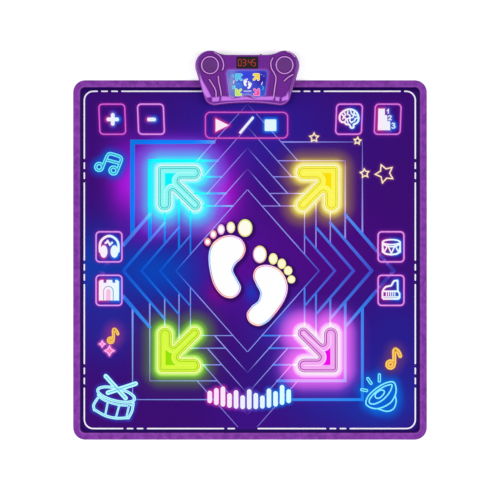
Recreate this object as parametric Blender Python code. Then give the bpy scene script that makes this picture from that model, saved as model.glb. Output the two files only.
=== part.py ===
"""A light-up dance mat with its console, modelled as the pieces it is put together from.

Sizes are in metres and +Z is up. The origin is on the floor under the middle of the mat.
+Y points to the edge that carries the console, +X to the right of someone who faces it.
"""

import math

import bmesh
import bpy

for leftover in list(bpy.data.objects):
    bpy.data.objects.remove(leftover, do_unlink=True)

# Clearance between pieces that touch on the real mat, and play round a part that moves or is fed through
AIR = 0.0003
PLAY = 0.0006

# Plan of the mat
MAT_WIDTH = 0.915
MAT_LENGTH = 0.930
MAT_CORNER_RADIUS = 0.031
FLAT_CORNER_RADIUS = 0.012
PUFF_WIDTH = 0.022
PUFF_STEPS = 6
LAYER_INSET = 0.001

# Thickness of each layer of the mat, from the floor up, and of the fabric where the binding squeezes it
BASE_FABRIC = 0.0010
BASE_FOAM = 0.0016
MEMBRANE = 0.0003
SPACER = 0.0012
CORE_FOAM = 0.0024
TOP_COVER = 0.0008
HEM_FABRIC = 0.0006

# Binding tape folded round the edge
BINDING_WIDTH = 0.018
BINDING_TAPE = 0.0008
BINDING_ROUND = 0.0006

# Pads that are pressed: travel and plan
PAD_TRAVEL = 0.0010
KEY_WIDTH = 0.0720
KEY_LENGTH = 0.0830
KEY_CORNER = 0.0095
KEY_LEAN = 0.0030
BAR_WIDTH = 0.218
BAR_LENGTH = 0.072
BAR_CORNER = 0.0155
CONTACT_RIM = 0.007

# Places of the keys, from the mat's side or far edge to the key's middle
SIDE_KEY_INSET = 0.0930
UPPER_SIDE_KEY_Y = 0.034
LOWER_SIDE_KEY_Y = -0.0785
ROW_INSET = 0.101
OUTER_KEY_INSET = 0.1015
INNER_KEY_INSET = 0.2015
BAR_INSET = 0.1165
BAR_X = -0.009

# Arrow pads: places about the middle of the dancing area, bars of the head, diagonal shaft
DANCE_X = -0.004
DANCE_Y = -0.0235
ARROW_SPREAD_X = 0.179
ARROW_SPREAD_Y = 0.209
ARROW_LENGTH = 0.1235
ARROW_WIDTHS = {"up_left": 0.119, "up_right": 0.115, "down_left": 0.116, "down_right": 0.111}
ARROW_POINTS_TO = {"up_left": (-1, 1), "up_right": (1, 1), "down_left": (-1, -1), "down_right": (1, -1)}
ARROW_BAR = 0.043
ARROW_SHAFT = 0.0365
ARROW_CORNER = 0.014

# Light guide under each arrow and the board with its lamp in the guide's window
LIGHT_GUIDE = 0.0010
GUIDE_RIM = 0.003
LAMP_WINDOW = 0.017
LAMP_FROM_CORNER = 0.038
LAMP_BOARD = 0.0140
LAMP_BOARD_THICKNESS = 0.0005
LAMP_SIZE = 0.0050
LAMP_HEIGHT = 0.0008

# Plan of the console, about the middle of its width and the mat's far edge
CASE_X = -0.007
LOBE_SPREAD = 0.096
LOBE_Y = 0.0368
LOBE_RADIUS = 0.0388
LOBE_RISE = 0.0109
WAIST_END = 0.050
GRIP_SPREAD = 0.0848
GRIP_Y = -0.0397
GRIP_RADIUS = 0.027
GRIP_RISE = 0.0064

# Heights and walls of the console
CASE_WALL = 0.0022
FOOT_THICKNESS = 0.0009
CASE_RISE = 0.0156
CASE_SLOPE = 0.09
TOP_EDGE_INSET = 0.009
TOP_EDGE_SHIFT = 0.0075
STEP_GAP = 0.0008
BOTTOM_ROUND = 0.0030

# Batteries, their bay and its door
CELLS = 4
CELL_DIAMETER = 0.0142
CELL_LENGTH = 0.0492
CELL_PITCH = 0.0147
CELL_NUB = 0.0055
CELL_NUB_HEIGHT = 0.0011
CONTACT_SPACE = 0.0024
CONTACT_PLATE = 0.0006
BAY_WALL = 0.0015
DOOR_THICKNESS = 0.0020
DOOR_TAB = 0.0050
DOOR_BOSS_WALL = 0.0020
DOOR_SCREW_HEAD = 0.0010

# Main board with its tail connector and larger components (from its middle: place, width, length,
# height), membrane tail and display
BOARD_WIDTH = 0.096
BOARD_FRONT = 0.0060
BOARD_LENGTH = 0.0530
BOARD_THICKNESS = 0.0016
TAIL_CONNECTOR = (0.0560, 0.0050, 0.0026)
COMPONENTS = ((-0.036, -0.006, 0.0120, 0.0120, 0.0014), (0.036, -0.006, 0.0120, 0.0160, 0.0020),
              (-0.038, 0.014, 0.0080, 0.0080, 0.0060))
TAIL_WIDTH = 0.050
TAIL_THICKNESS = 0.0003
TAIL_START = -0.060
TAIL_RISE_Y = -0.036
TAIL_OVERLAP = 0.008
WINDOW_WIDTH = 0.0560
WINDOW_LENGTH = 0.0305
WINDOW_Y = 0.0432
WINDOW_CORNER = 0.0035
WINDOW_SUNK = 0.0003
FLANGE_WIDTH = 0.0012
FLANGE_THICKNESS = 0.0012
DISPLAY_MARGIN = 0.0020

# Picture plate in the console's top
PLATE_FAR_WIDTH = 0.108
PLATE_NEAR_WIDTH = 0.096
PLATE_FAR_Y = 0.0250
PLATE_NEAR_Y = -0.0445
PLATE_CORNER = 0.0095
PLATE_HUMP = 0.0045
PLATE_HUMP_REACH = 0.020
PLATE_DEPTH = 0.0010

# Speakers and their grilles, in the lobes
DISH_RADIUS = 0.0222
DISH_DEPTH = 0.0009
GRILLE_RADIUS = 0.0177
GRILLE_FLANGE = 0.0012
GRILLE_FLANGE_THICKNESS = 0.0008
GRILLE_HOLE = 0.0011
GRILLE_PITCH = 0.0048
GRILLE_RINGS = 3
SPEAKER_RADIUS = 0.0185
SPEAKER_RIM = 0.0020
SPEAKER_DEPTH = 0.0130
MAGNET_RADIUS = 0.0110
MAGNET_HEIGHT = 0.0050

# Power switch in the console's far wall
SWITCH_X = 0.037
SWITCH_TRAVEL = 0.0040
SWITCH_BODY = (0.0140, 0.0060, 0.0060)
KNOB = (0.0050, 0.0034)
KNOB_PROUD = 0.0016

# Screws: radius of shank, head and post, thickness of the head
SHANK_RADIUS = 0.0015
HEAD_RADIUS = 0.0031
HEAD_THICKNESS = 0.0016
POST_RADIUS = 0.0042
CASE_SCREW_REACH = 0.0275
CLAMP_SCREWS = ((-0.086, -0.046), (-0.035, -0.049), (0.035, -0.049), (0.086, -0.046))
CLAMP_LENGTH = 0.196
CLAMP_WIDTH = 0.024
CLAMP_CORNER = 0.006
CLAMP_Y = -0.048
FOOT_RADIUS = 0.0060
FOOT_SHIFT = -0.004

# Levels worked out from the thicknesses
FOAM_Z = BASE_FABRIC + AIR
LOWER_Z = FOAM_Z + BASE_FOAM + AIR
SPACER_Z = LOWER_Z + MEMBRANE + AIR
UPPER_Z = SPACER_Z + SPACER + AIR
CORE_Z = UPPER_Z + MEMBRANE + AIR
COVER_Z = CORE_Z + CORE_FOAM + AIR
COVER_TOP = COVER_Z + TOP_COVER
HEM_Z = BINDING_TAPE + AIR
HEM_COVER_Z = HEM_Z + HEM_FABRIC + AIR
HEM_TOP = HEM_COVER_Z + TOP_COVER
BINDING_TOP = HEM_TOP + AIR + BINDING_TAPE
PUFF_START = BINDING_WIDTH + AIR

CASE_Y = MAT_LENGTH / 2
CASE_BOTTOM = FOOT_THICKNESS + AIR
CELL_Z = CASE_BOTTOM + DOOR_THICKNESS + AIR + CELL_DIAMETER / 2
BAY_CEILING = CELL_Z + CELL_DIAMETER / 2 + AIR
BAY_TOP = BAY_CEILING + BAY_WALL
BOARD_Z = BAY_TOP + AIR
SEAM_Z = BAY_TOP + PLAY
FRONT_FLOOR = COVER_TOP + AIR
STEP_Y = CASE_Y + STEP_GAP
BAY_FRONT = STEP_Y + CASE_WALL
BAY_LENGTH = CELL_LENGTH + CELL_NUB_HEIGHT + 2 * CONTACT_SPACE
BAY_WIDTH = CELLS * CELL_PITCH
FAR_WALL_Y = CASE_Y + LOBE_Y + LOBE_RADIUS - LOBE_RISE
FAR = 0.05


def srgb(red, green, blue):
    """Linear colour from the 0 to 255 values that a photograph shows."""
    def linear(value):
        share = value / 255
        return share / 12.92 if share <= 0.04045 else ((share + 0.055) / 1.055) ** 2.4
    return linear(red), linear(green), linear(blue), 1.0


def paint(piece, colour, roughness, metallic=0.0):
    """Give a piece a material of its own."""
    material = bpy.data.materials.new(piece.name)
    material.use_nodes = True
    shader = material.node_tree.nodes["Principled BSDF"]
    shader.inputs["Base Color"].default_value = colour
    shader.inputs["Roughness"].default_value = roughness
    shader.inputs["Metallic"].default_value = metallic
    piece.data.materials.append(material)


def make_object(name, solid, origin=(0.0, 0.0, 0.0), smooth=False):
    """Object from a mesh in world places, with its own origin on the point given."""
    bmesh.ops.translate(solid, verts=solid.verts, vec=[-value for value in origin])
    mesh = bpy.data.meshes.new(name)
    solid.to_mesh(mesh)
    solid.free()
    if smooth:
        mesh.shade_smooth()
        mesh.set_sharp_from_angle(angle=math.radians(35))
    piece = bpy.data.objects.new(name, mesh)
    piece.location = origin
    bpy.context.scene.collection.objects.link(piece)
    return piece


def make_tool(name, solid):
    """Guide object for a Boolean, left out of the model."""
    tool = make_object(name, solid)
    tool.hide_render = True
    tool.display_type = 'WIRE'
    return tool


def boolean(piece, tool, operation):
    """Cut a guide from a piece, or join it on."""
    modifier = piece.modifiers.new(tool.name, 'BOOLEAN')
    modifier.operation = operation
    modifier.solver = 'EXACT'
    modifier.object = tool


def add_stack(solid, rings):
    """Closed body through rings of as many points each, lowest first, each counter-clockwise."""
    loops = [[solid.verts.new(point) for point in ring] for ring in rings]
    solid.faces.new(list(reversed(loops[0])))
    solid.faces.new(loops[-1])
    for lower, upper in zip(loops, loops[1:]):
        join_loops(solid, lower, upper)


def join_loops(solid, lower, upper):
    """Side faces between two rings of vertices."""
    count = len(lower)
    for here in range(count):
        there = (here + 1) % count
        solid.faces.new((lower[here], lower[there], upper[there], upper[here]))


def level(outline, height):
    """Plan outline lifted to a height, a number or a function of y."""
    if callable(height):
        return [(x, y, height(y)) for x, y in outline]
    return [(x, y, height) for x, y in outline]


def add_prism(solid, outline, low, high):
    """Closed body over a plan outline between two heights."""
    add_stack(solid, [level(outline, low), level(outline, high)])


def add_box(solid, low, high):
    """Box between two corners."""
    outline = [(low[0], low[1]), (high[0], low[1]), (high[0], high[1]), (low[0], high[1])]
    add_prism(solid, outline, low[2], high[2])


def circle(x, y, radius, sides=16):
    """Plan circle, counter-clockwise."""
    turn = 2 * math.pi / sides
    return [(x + radius * math.cos(turn * k), y + radius * math.sin(turn * k)) for k in range(sides)]


def arc(x, y, radius, start, end, steps):
    """Points of an arc between two angles in degrees, both ends included."""
    angles = [math.radians(start + (end - start) * k / steps) for k in range(steps + 1)]
    return [(x + radius * math.cos(angle), y + radius * math.sin(angle)) for angle in angles]


def rounded_rectangle(width, length, radius, x=0.0, y=0.0, lean=0.0, steps=5):
    """Plan rectangle with round corners, its near side moved by the lean."""
    across = width / 2 - radius
    along = length / 2 - radius
    points = (arc(across, along, radius, 0, 90, steps) + arc(-across, along, radius, 90, 180, steps)
              + arc(-across, -along, radius, 180, 270, steps) + arc(across, -along, radius, 270, 360, steps))
    return [(x + px - lean * py / length, y + py) for px, py in points]


def mat_outline(inset):
    """Plan of the mat at a distance inside its edge."""
    radius = max(MAT_CORNER_RADIUS - inset, FLAT_CORNER_RADIUS)
    return rounded_rectangle(MAT_WIDTH - 2 * inset, MAT_LENGTH - 2 * inset, radius)


def puff(share):
    """Rise of the cover from 0 at the binding to 1 on the flat, steep first and then level."""
    return 1 - (1 - share) ** 2


def layer_inset(top):
    """Distance from the mat's edge at which a layer with this top clears the cover over it."""
    share = 1 - math.sqrt(max(0.0, 1 - (top + AIR - HEM_COVER_Z) / (COVER_Z - HEM_COVER_Z)))
    return PUFF_START + share * PUFF_WIDTH + LAYER_INSET


def make_layer(name, bottom, thickness):
    """Flat layer of the mat that ends where the cover comes down over it."""
    solid = bmesh.new()
    add_prism(solid, mat_outline(layer_inset(bottom + thickness)), bottom, bottom + thickness)
    return make_object(name, solid)


def key_outline(key, grow=0.0):
    """Plan of a key, larger by a margin all round."""
    x, y, width, length, corner, lean = key
    return rounded_rectangle(width + 2 * grow, length + 2 * grow, corner + grow, x, y, lean, 3)


def arrow_outline(arrow, grow=0.0):
    """Plan of an arrow: two bars that meet in a corner and a shaft at 45 degrees between them.

    It is worked out with the corner at 0, one bar along +u and the other along +v, then turned
    to where the arrow points. Each free end is a half circle.
    """
    to_x, to_y = ARROW_POINTS_TO[arrow]
    width = ARROW_WIDTHS[arrow]
    half_bar = ARROW_BAR / 2
    half_shaft = ARROW_SHAFT / 2
    end_u = width - half_shaft
    end_v = ARROW_LENGTH - half_shaft
    side = ARROW_BAR + grow
    reach = (half_shaft + grow) * math.sqrt(2)
    corner = ARROW_CORNER + grow
    points = arc(ARROW_CORNER, ARROW_CORNER, corner, 180, 270, 3)
    points += arc(width - half_bar, half_bar, half_bar + grow, 270, 450, 6)
    points += [(side + end_u - end_v + reach, side)]
    points += arc(end_u, end_v, half_shaft + grow, -45, 135, 6)
    points += [(side, side + end_v - end_u + reach)]
    points += arc(half_bar, ARROW_LENGTH - half_bar, half_bar + grow, 0, 180, 6)
    x, y = arrow_corner(arrow)
    placed = [(x - to_x * u, y - to_y * v) for u, v in points]
    return placed if to_x == to_y else list(reversed(placed))


def arrow_centre(arrow):
    """Middle of an arrow's box in plan."""
    to_x, to_y = ARROW_POINTS_TO[arrow]
    return DANCE_X + to_x * ARROW_SPREAD_X, DANCE_Y + to_y * ARROW_SPREAD_Y


def arrow_corner(arrow):
    """Point of an arrow's head, before it is rounded."""
    to_x, to_y = ARROW_POINTS_TO[arrow]
    x, y = arrow_centre(arrow)
    return x + to_x * ARROW_WIDTHS[arrow] / 2, y + to_y * ARROW_LENGTH / 2


def arrow_lamp(arrow):
    """Middle of the lamp behind an arrow's head, on the line along the middle of its shaft."""
    to_x, to_y = ARROW_POINTS_TO[arrow]
    x, y = arrow_corner(arrow)
    off_diagonal = (ARROW_WIDTHS[arrow] - ARROW_LENGTH) / 2
    return x - to_x * (LAMP_FROM_CORNER + off_diagonal), y - to_y * (LAMP_FROM_CORNER - off_diagonal)


def row_key(x):
    """Key of the far row: middle, size, corner radius and lean away from the mat's side."""
    lean = KEY_LEAN if x < 0 else -KEY_LEAN
    return x, MAT_LENGTH / 2 - ROW_INSET, KEY_WIDTH, KEY_LENGTH, KEY_CORNER, lean


def side_key(side, y):
    """Key at the left (-1) or right (1) side of the mat."""
    return side * (MAT_WIDTH / 2 - SIDE_KEY_INSET), y, KEY_WIDTH, KEY_LENGTH, KEY_CORNER, 0.0


HALF_WIDTH = MAT_WIDTH / 2
KEYS = {
    "key_volume_up": row_key(OUTER_KEY_INSET - HALF_WIDTH),
    "key_volume_down": row_key(INNER_KEY_INSET - HALF_WIDTH),
    "key_start_stop": (BAR_X, MAT_LENGTH / 2 - BAR_INSET, BAR_WIDTH, BAR_LENGTH, BAR_CORNER, 0.0),
    "key_memory": row_key(HALF_WIDTH - INNER_KEY_INSET),
    "key_level": row_key(HALF_WIDTH - OUTER_KEY_INSET),
    "key_headphones": side_key(-1, UPPER_SIDE_KEY_Y),
    "key_castle": side_key(-1, LOWER_SIDE_KEY_Y),
    "key_drum": side_key(1, UPPER_SIDE_KEY_Y),
    "key_piano": side_key(1, LOWER_SIDE_KEY_Y),
}


def make_zone_tool(name, grow, low, high):
    """Guide with one body for each key and arrow, larger than them by a margin."""
    solid = bmesh.new()
    for key in KEYS.values():
        add_prism(solid, key_outline(key, grow), low, high)
    for arrow in ARROW_WIDTHS:
        add_prism(solid, arrow_outline(arrow, grow), low, high)
    return make_tool(name, solid)


# Base fabric: flat on the floor, thin and raised where the binding holds it
solid = bmesh.new()
low_rings = [level(mat_outline(PUFF_START + 2 * BASE_FABRIC), 0.0),
             level(mat_outline(PUFF_START), HEM_Z),
             level(mat_outline(HEM_Z), HEM_Z)]
high_rings = [level(mat_outline(HEM_Z), HEM_Z + HEM_FABRIC),
              level(mat_outline(PUFF_START), HEM_Z + HEM_FABRIC),
              level(mat_outline(PUFF_START + BASE_FABRIC), BASE_FABRIC)]
add_stack(solid, low_rings + high_rings)
base_fabric = make_object("base_fabric", solid)
paint(base_fabric, srgb(34, 32, 38), 0.9)

base_foam = make_layer("base_foam", FOAM_Z, BASE_FOAM)
paint(base_foam, srgb(225, 225, 222), 0.9)
lower_membrane = make_layer("lower_membrane", LOWER_Z, MEMBRANE)
paint(lower_membrane, srgb(205, 208, 212), 0.3)
membrane_spacer = make_layer("membrane_spacer", SPACER_Z, SPACER)
paint(membrane_spacer, srgb(236, 236, 232), 0.9)
upper_membrane = make_layer("upper_membrane", UPPER_Z, MEMBRANE)
paint(upper_membrane, srgb(205, 208, 212), 0.3)
core_foam = make_layer("core_foam", CORE_Z, CORE_FOAM)
paint(core_foam, srgb(232, 232, 228), 0.9)

# Top cover: flat over the core foam, puffed down to the binding at its edge
solid = bmesh.new()
insets = [PUFF_START + PUFF_WIDTH * k / PUFF_STEPS for k in range(PUFF_STEPS + 1)]
rises = [(COVER_Z - HEM_COVER_Z) * puff(k / PUFF_STEPS) for k in range(PUFF_STEPS + 1)]
under = [level(mat_outline(inset), HEM_COVER_Z + rise) for inset, rise in zip(insets, rises)]
over = [level(mat_outline(inset), HEM_TOP + rise) for inset, rise in zip(insets, rises)]
hem = [level(mat_outline(HEM_Z), HEM_COVER_Z), level(mat_outline(HEM_Z), HEM_TOP)]
add_stack(solid, list(reversed(under)) + hem + over)
top_cover = make_object("top_cover", solid)
paint(top_cover, srgb(62, 18, 124), 0.35)

# Binding: one strip of tape folded round the edge and stitched through
solid = bmesh.new()
tape_under = BINDING_TOP - BINDING_TAPE
tape = [(BINDING_WIDTH, 0.0), (BINDING_ROUND, 0.0), (0.0, BINDING_ROUND), (0.0, BINDING_TOP - BINDING_ROUND),
        (BINDING_ROUND, BINDING_TOP), (BINDING_WIDTH, BINDING_TOP), (BINDING_WIDTH, tape_under),
        (BINDING_TAPE, tape_under), (BINDING_TAPE, BINDING_TAPE), (BINDING_WIDTH, BINDING_TAPE)]
loops = [[solid.verts.new(point) for point in level(mat_outline(inset), height)] for inset, height in tape]
for lower, upper in zip(loops, loops[1:] + loops[:1]):
    join_loops(solid, lower, upper)
edge_binding = make_object("edge_binding", solid)
paint(edge_binding, srgb(140, 70, 172), 0.8)

# Openings through the cover and the foam under it, and the smaller contact windows in the spacer
boolean(top_cover, make_zone_tool("cover_openings", AIR, COVER_Z - AIR, COVER_TOP + AIR), 'DIFFERENCE')
boolean(core_foam, make_zone_tool("foam_openings", PLAY, CORE_Z - AIR, COVER_Z), 'DIFFERENCE')
contact_windows = make_zone_tool("contact_windows", -CONTACT_RIM, SPACER_Z - AIR, SPACER_Z + SPACER + AIR)
boolean(membrane_spacer, contact_windows, 'DIFFERENCE')

# Key pads: printed film on a block of foam that clears the membranes by the travel
for name, key in KEYS.items():
    solid = bmesh.new()
    add_prism(solid, key_outline(key), CORE_Z + PAD_TRAVEL, COVER_TOP)
    pad = make_object(name, solid, (key[0], key[1], COVER_TOP))
    paint(pad, srgb(66, 16, 124), 0.35)

# Arrow pads: clear printed film, with its light guide under it and the lamp's board below
ARROW_COLOURS = {"up_left": srgb(60, 240, 252), "up_right": srgb(250, 222, 80),
                 "down_left": srgb(178, 236, 60), "down_right": srgb(250, 110, 240)}
GUIDE_Z = COVER_Z - AIR - LIGHT_GUIDE
for arrow, colour in ARROW_COLOURS.items():
    x, y = arrow_centre(arrow)
    solid = bmesh.new()
    add_prism(solid, arrow_outline(arrow), COVER_Z, COVER_TOP)
    arrow_pad = make_object("arrow_pad_" + arrow, solid, (x, y, COVER_TOP))
    paint(arrow_pad, colour, 0.3)

    solid = bmesh.new()
    add_prism(solid, arrow_outline(arrow, -GUIDE_RIM), GUIDE_Z, GUIDE_Z + LIGHT_GUIDE)
    light_guide = make_object("light_guide_" + arrow, solid, (x, y, COVER_TOP))
    paint(light_guide, srgb(235, 240, 245), 0.15)
    x, y = arrow_lamp(arrow)
    solid = bmesh.new()
    half = LAMP_WINDOW / 2
    add_box(solid, (x - half, y - half, GUIDE_Z - AIR), (x + half, y + half, COVER_Z))
    boolean(light_guide, make_tool("lamp_window_" + arrow, solid), 'DIFFERENCE')

    solid = bmesh.new()
    board_top = CORE_Z + LAMP_BOARD_THICKNESS
    board = rounded_rectangle(LAMP_BOARD, LAMP_BOARD, LAMP_BOARD / 8, x, y, 0.0, 1)
    lamp = rounded_rectangle(LAMP_SIZE, LAMP_SIZE, LAMP_SIZE / 8, x, y, 0.0, 1)
    add_stack(solid, [level(board, CORE_Z), level(board, board_top), level(lamp, board_top),
                      level(lamp, board_top + LAMP_HEIGHT)])
    led_board = make_object("led_board_" + arrow, solid)
    paint(led_board, srgb(240, 240, 235), 0.5)


def waist_radius(span, radius, rise):
    """Radius of the hollow arc that joins a round end to a line or arc lower than it by the rise."""
    height = radius - rise
    return (span ** 2 + height ** 2 - radius ** 2) / (2 * rise)


def case_half(inset):
    """Right half of the console's plan, from the middle of the near edge to that of the far edge."""
    near_radius = waist_radius(GRIP_SPREAD, GRIP_RADIUS, GRIP_RISE)
    near_y = GRIP_Y - GRIP_RADIUS + GRIP_RISE - near_radius
    near_end = math.degrees(math.atan2(GRIP_Y - near_y, GRIP_SPREAD))
    far_radius = waist_radius(LOBE_SPREAD - WAIST_END, LOBE_RADIUS, LOBE_RISE)
    far_y = LOBE_Y + LOBE_RADIUS - LOBE_RISE + far_radius
    far_start = math.degrees(math.atan2(far_y - LOBE_Y, WAIST_END - LOBE_SPREAD))
    lean = math.degrees(math.atan2(LOBE_Y - GRIP_Y, LOBE_SPREAD - GRIP_SPREAD))
    between = math.hypot(LOBE_Y - GRIP_Y, LOBE_SPREAD - GRIP_SPREAD)
    side = lean - math.degrees(math.acos((GRIP_RADIUS - LOBE_RADIUS) / between))
    points = arc(0.0, near_y, near_radius + inset, 90, near_end, 4)
    points += arc(GRIP_SPREAD, GRIP_Y, GRIP_RADIUS - inset, near_end - 180, side, 9)[1:]
    points += arc(LOBE_SPREAD, LOBE_Y, LOBE_RADIUS - inset, side, far_start, 16)
    points += arc(WAIST_END, far_y, far_radius + inset, far_start - 180, -90, 4)[1:]
    return points


def case_outline(inset=0.0, shift=0.0):
    """Plan of the console at a distance inside its edge, moved towards the far side by the shift."""
    right = case_half(inset)
    left = [(-x, y) for x, y in reversed(right[1:])]
    return [(CASE_X + x, CASE_Y + y + shift) for x, y in right + left]


def case_top(y):
    """Height of the console's sloping top at a distance along the mat."""
    return SEAM_Z + CASE_RISE + CASE_SLOPE * (y - CASE_Y)


def case_ceiling(y):
    """Underside of the sloping top."""
    return case_top(y) - CASE_WALL


def under_top(depth):
    """Height that follows the sloping top at a depth below it."""
    return lambda y: case_top(y) - depth


def side_height(share, surface):
    """Height at a share of the way from the seam to a sloping surface."""
    return lambda y: SEAM_Z + share * (surface(y) - SEAM_Z)


def far_part(outline, y_start):
    """Part of a plan outline beyond a line across the mat."""
    kept = []
    for here, there in zip(outline, outline[1:] + outline[:1]):
        if here[1] > y_start:
            kept.append(here)
        if (here[1] > y_start) != (there[1] > y_start):
            share = (y_start - here[1]) / (there[1] - here[1])
            kept.append((here[0] + share * (there[0] - here[0]), y_start))
    return kept


# Screws from below: clamp screws through the mat's edge, case screws beside the speakers
clamp_places = [(CASE_X + x, CASE_Y + y) for x, y in CLAMP_SCREWS]
LOBES = {"left": (CASE_X - LOBE_SPREAD, CASE_Y + LOBE_Y), "right": (CASE_X + LOBE_SPREAD, CASE_Y + LOBE_Y)}
case_places = [(x, y + CASE_SCREW_REACH) for x, y in LOBES.values()]
SCREW_TIP = SEAM_Z + CASE_RISE / 3
SCREW_HOLE = SHANK_RADIUS + AIR
HEAD_RECESS = HEAD_RADIUS + AIR

# Top shell: walls drawn in towards a sloping top, wider at the player's side
SIDE_STEPS = ((0.0, 0.0, 0.0), (0.05, 0.0, 0.45), (0.25, 0.15, 0.76), (0.62, 0.6, 0.94), (1.0, 1.0, 1.0))
solid = bmesh.new()
outer = []
inner = []
for inset_share, shift_share, height_share in SIDE_STEPS:
    inset = inset_share * TOP_EDGE_INSET
    shift = shift_share * TOP_EDGE_SHIFT
    outer.append(level(case_outline(inset, shift), side_height(height_share, case_top)))
    inner.append(level(case_outline(inset + CASE_WALL, shift), side_height(height_share, case_ceiling)))
add_stack(solid, list(reversed(inner)) + outer)
top_shell = make_object("top_shell", solid, smooth=True)
paint(top_shell, srgb(112, 44, 142), 0.25)

solid = bmesh.new()
for x, y in clamp_places + case_places:
    add_prism(solid, circle(x, y, POST_RADIUS, 10), SEAM_Z, case_ceiling(y) + CASE_WALL / 4)
boolean(top_shell, make_tool("top_posts", solid), 'UNION')

solid = bmesh.new()
for x, y in clamp_places + case_places:
    add_prism(solid, circle(x, y, SCREW_HOLE, 8), SEAM_Z - PLAY, SCREW_TIP + PLAY)
boolean(top_shell, make_tool("top_screw_holes", solid), 'DIFFERENCE')


def window_outline(grow=0.0):
    """Plan of the display window, larger by a margin."""
    return rounded_rectangle(WINDOW_WIDTH + 2 * grow, WINDOW_LENGTH + 2 * grow, WINDOW_CORNER + grow,
                             CASE_X, CASE_Y + WINDOW_Y, 0.0, 3)


def plate_outline(grow=0.0):
    """Plan of the picture plate: narrower at the player's side, where its edge has a small hump."""
    far_half = PLATE_FAR_WIDTH / 2 + grow - PLATE_CORNER
    near_half = PLATE_NEAR_WIDTH / 2 + grow - PLATE_CORNER
    far_y = PLATE_FAR_Y + grow - PLATE_CORNER
    near_y = PLATE_NEAR_Y - grow + PLATE_CORNER
    right = [(CASE_X + PLATE_HUMP_REACH * k / 3,
              near_y - PLATE_CORNER + PLATE_HUMP * (1 + math.cos(math.pi * k / 3)) / 2) for k in range(4)]
    right += [(CASE_X + x, y) for x, y in arc(near_half, near_y, PLATE_CORNER, 270, 360, 4)]
    right += [(CASE_X + x, y) for x, y in arc(far_half, far_y, PLATE_CORNER, 0, 90, 4)]
    left = [(2 * CASE_X - x, y) for x, y in reversed(right[1:])]
    return [(x, CASE_Y + y) for x, y in right + left]


solid = bmesh.new()
add_prism(solid, window_outline(AIR), SEAM_Z + PLAY, SEAM_Z + FAR)
boolean(top_shell, make_tool("window_opening", solid), 'DIFFERENCE')
solid = bmesh.new()
add_stack(solid, [level(plate_outline(AIR), under_top(PLATE_DEPTH)), level(plate_outline(AIR), SEAM_Z + FAR)])
boolean(top_shell, make_tool("plate_recess", solid), 'DIFFERENCE')
solid = bmesh.new()
for x, y in LOBES.values():
    dish_slope = (DISH_RADIUS - GRILLE_RADIUS - AIR) / DISH_DEPTH
    rings = ((GRILLE_RADIUS + AIR, SPEAKER_DEPTH), (GRILLE_RADIUS + AIR, DISH_DEPTH), (DISH_RADIUS, 0.0),
             (DISH_RADIUS + dish_slope * AIR, -AIR))
    add_stack(solid, [level(circle(x, y, radius, 24), under_top(depth)) for radius, depth in rings])
boolean(top_shell, make_tool("speaker_dishes", solid), 'DIFFERENCE')

# Slot in the far wall for the switch's knob
switch_x = CASE_X + SWITCH_X
switch_y = FAR_WALL_Y - CASE_WALL - PLAY - SWITCH_BODY[1]
switch_z = BOARD_Z + BOARD_THICKNESS + AIR
knob_z = switch_z + SWITCH_BODY[2] / 2
solid = bmesh.new()
slot_half = (KNOB[0] + SWITCH_TRAVEL) / 2 + PLAY
slot_high = KNOB[1] / 2 + PLAY
add_box(solid, (switch_x - slot_half, FAR_WALL_Y - CASE_WALL - PLAY, knob_z - slot_high),
        (switch_x + slot_half, FAR_WALL_Y + PLAY, knob_z + slot_high))
boolean(top_shell, make_tool("switch_slot", solid), 'DIFFERENCE')

# Bottom shell: deep beyond the mat's edge, stepped up over it
solid = bmesh.new()
outer = [level(case_outline(BOTTOM_ROUND), CASE_BOTTOM),
         level(case_outline(BOTTOM_ROUND / 4), CASE_BOTTOM + BOTTOM_ROUND * 3 / 4),
         level(case_outline(), CASE_BOTTOM + 2 * BOTTOM_ROUND),
         level(case_outline(), SEAM_Z - AIR)]
add_stack(solid, outer)
bottom_shell = make_object("bottom_shell", solid, smooth=True)
paint(bottom_shell, srgb(96, 34, 128), 0.35)

reach = LOBE_SPREAD + 2 * LOBE_RADIUS
solid = bmesh.new()
add_box(solid, (CASE_X - reach, CASE_Y - reach, -FAR), (CASE_X + reach, STEP_Y, FRONT_FLOOR))
boolean(bottom_shell, make_tool("mat_step", solid), 'DIFFERENCE')
solid = bmesh.new()
add_prism(solid, case_outline(CASE_WALL), FRONT_FLOOR + CASE_WALL, SEAM_Z + FAR)
boolean(bottom_shell, make_tool("front_hollow", solid), 'DIFFERENCE')
solid = bmesh.new()
deep_outline = far_part(case_outline(BOTTOM_ROUND + CASE_WALL), STEP_Y + CASE_WALL)
add_prism(solid, deep_outline, CASE_BOTTOM + CASE_WALL, FRONT_FLOOR + 2 * CASE_WALL)
boolean(bottom_shell, make_tool("far_hollow", solid), 'DIFFERENCE')

bay_left = CASE_X - BAY_WIDTH / 2
bay_right = CASE_X + BAY_WIDTH / 2
bay_far = BAY_FRONT + BAY_LENGTH
tab_x = bay_left - DOOR_TAB
tab_y = BAY_FRONT + BAY_LENGTH / 2
floor_inside = CASE_BOTTOM + CASE_WALL / 2
solid = bmesh.new()
add_box(solid, (bay_left - BAY_WALL, STEP_Y + CASE_WALL / 2, floor_inside),
        (bay_right + BAY_WALL, bay_far + BAY_WALL, BAY_TOP))
boolean(bottom_shell, make_tool("battery_bay_walls", solid), 'UNION')

solid = bmesh.new()
for x, y in case_places:
    add_prism(solid, circle(x, y, POST_RADIUS, 10), floor_inside, SEAM_Z - AIR)
for x, y in clamp_places:
    add_prism(solid, circle(x, y, POST_RADIUS, 10), FRONT_FLOOR + CASE_WALL / 2, SEAM_Z - AIR)
boolean(bottom_shell, make_tool("bottom_posts", solid), 'UNION')


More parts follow.
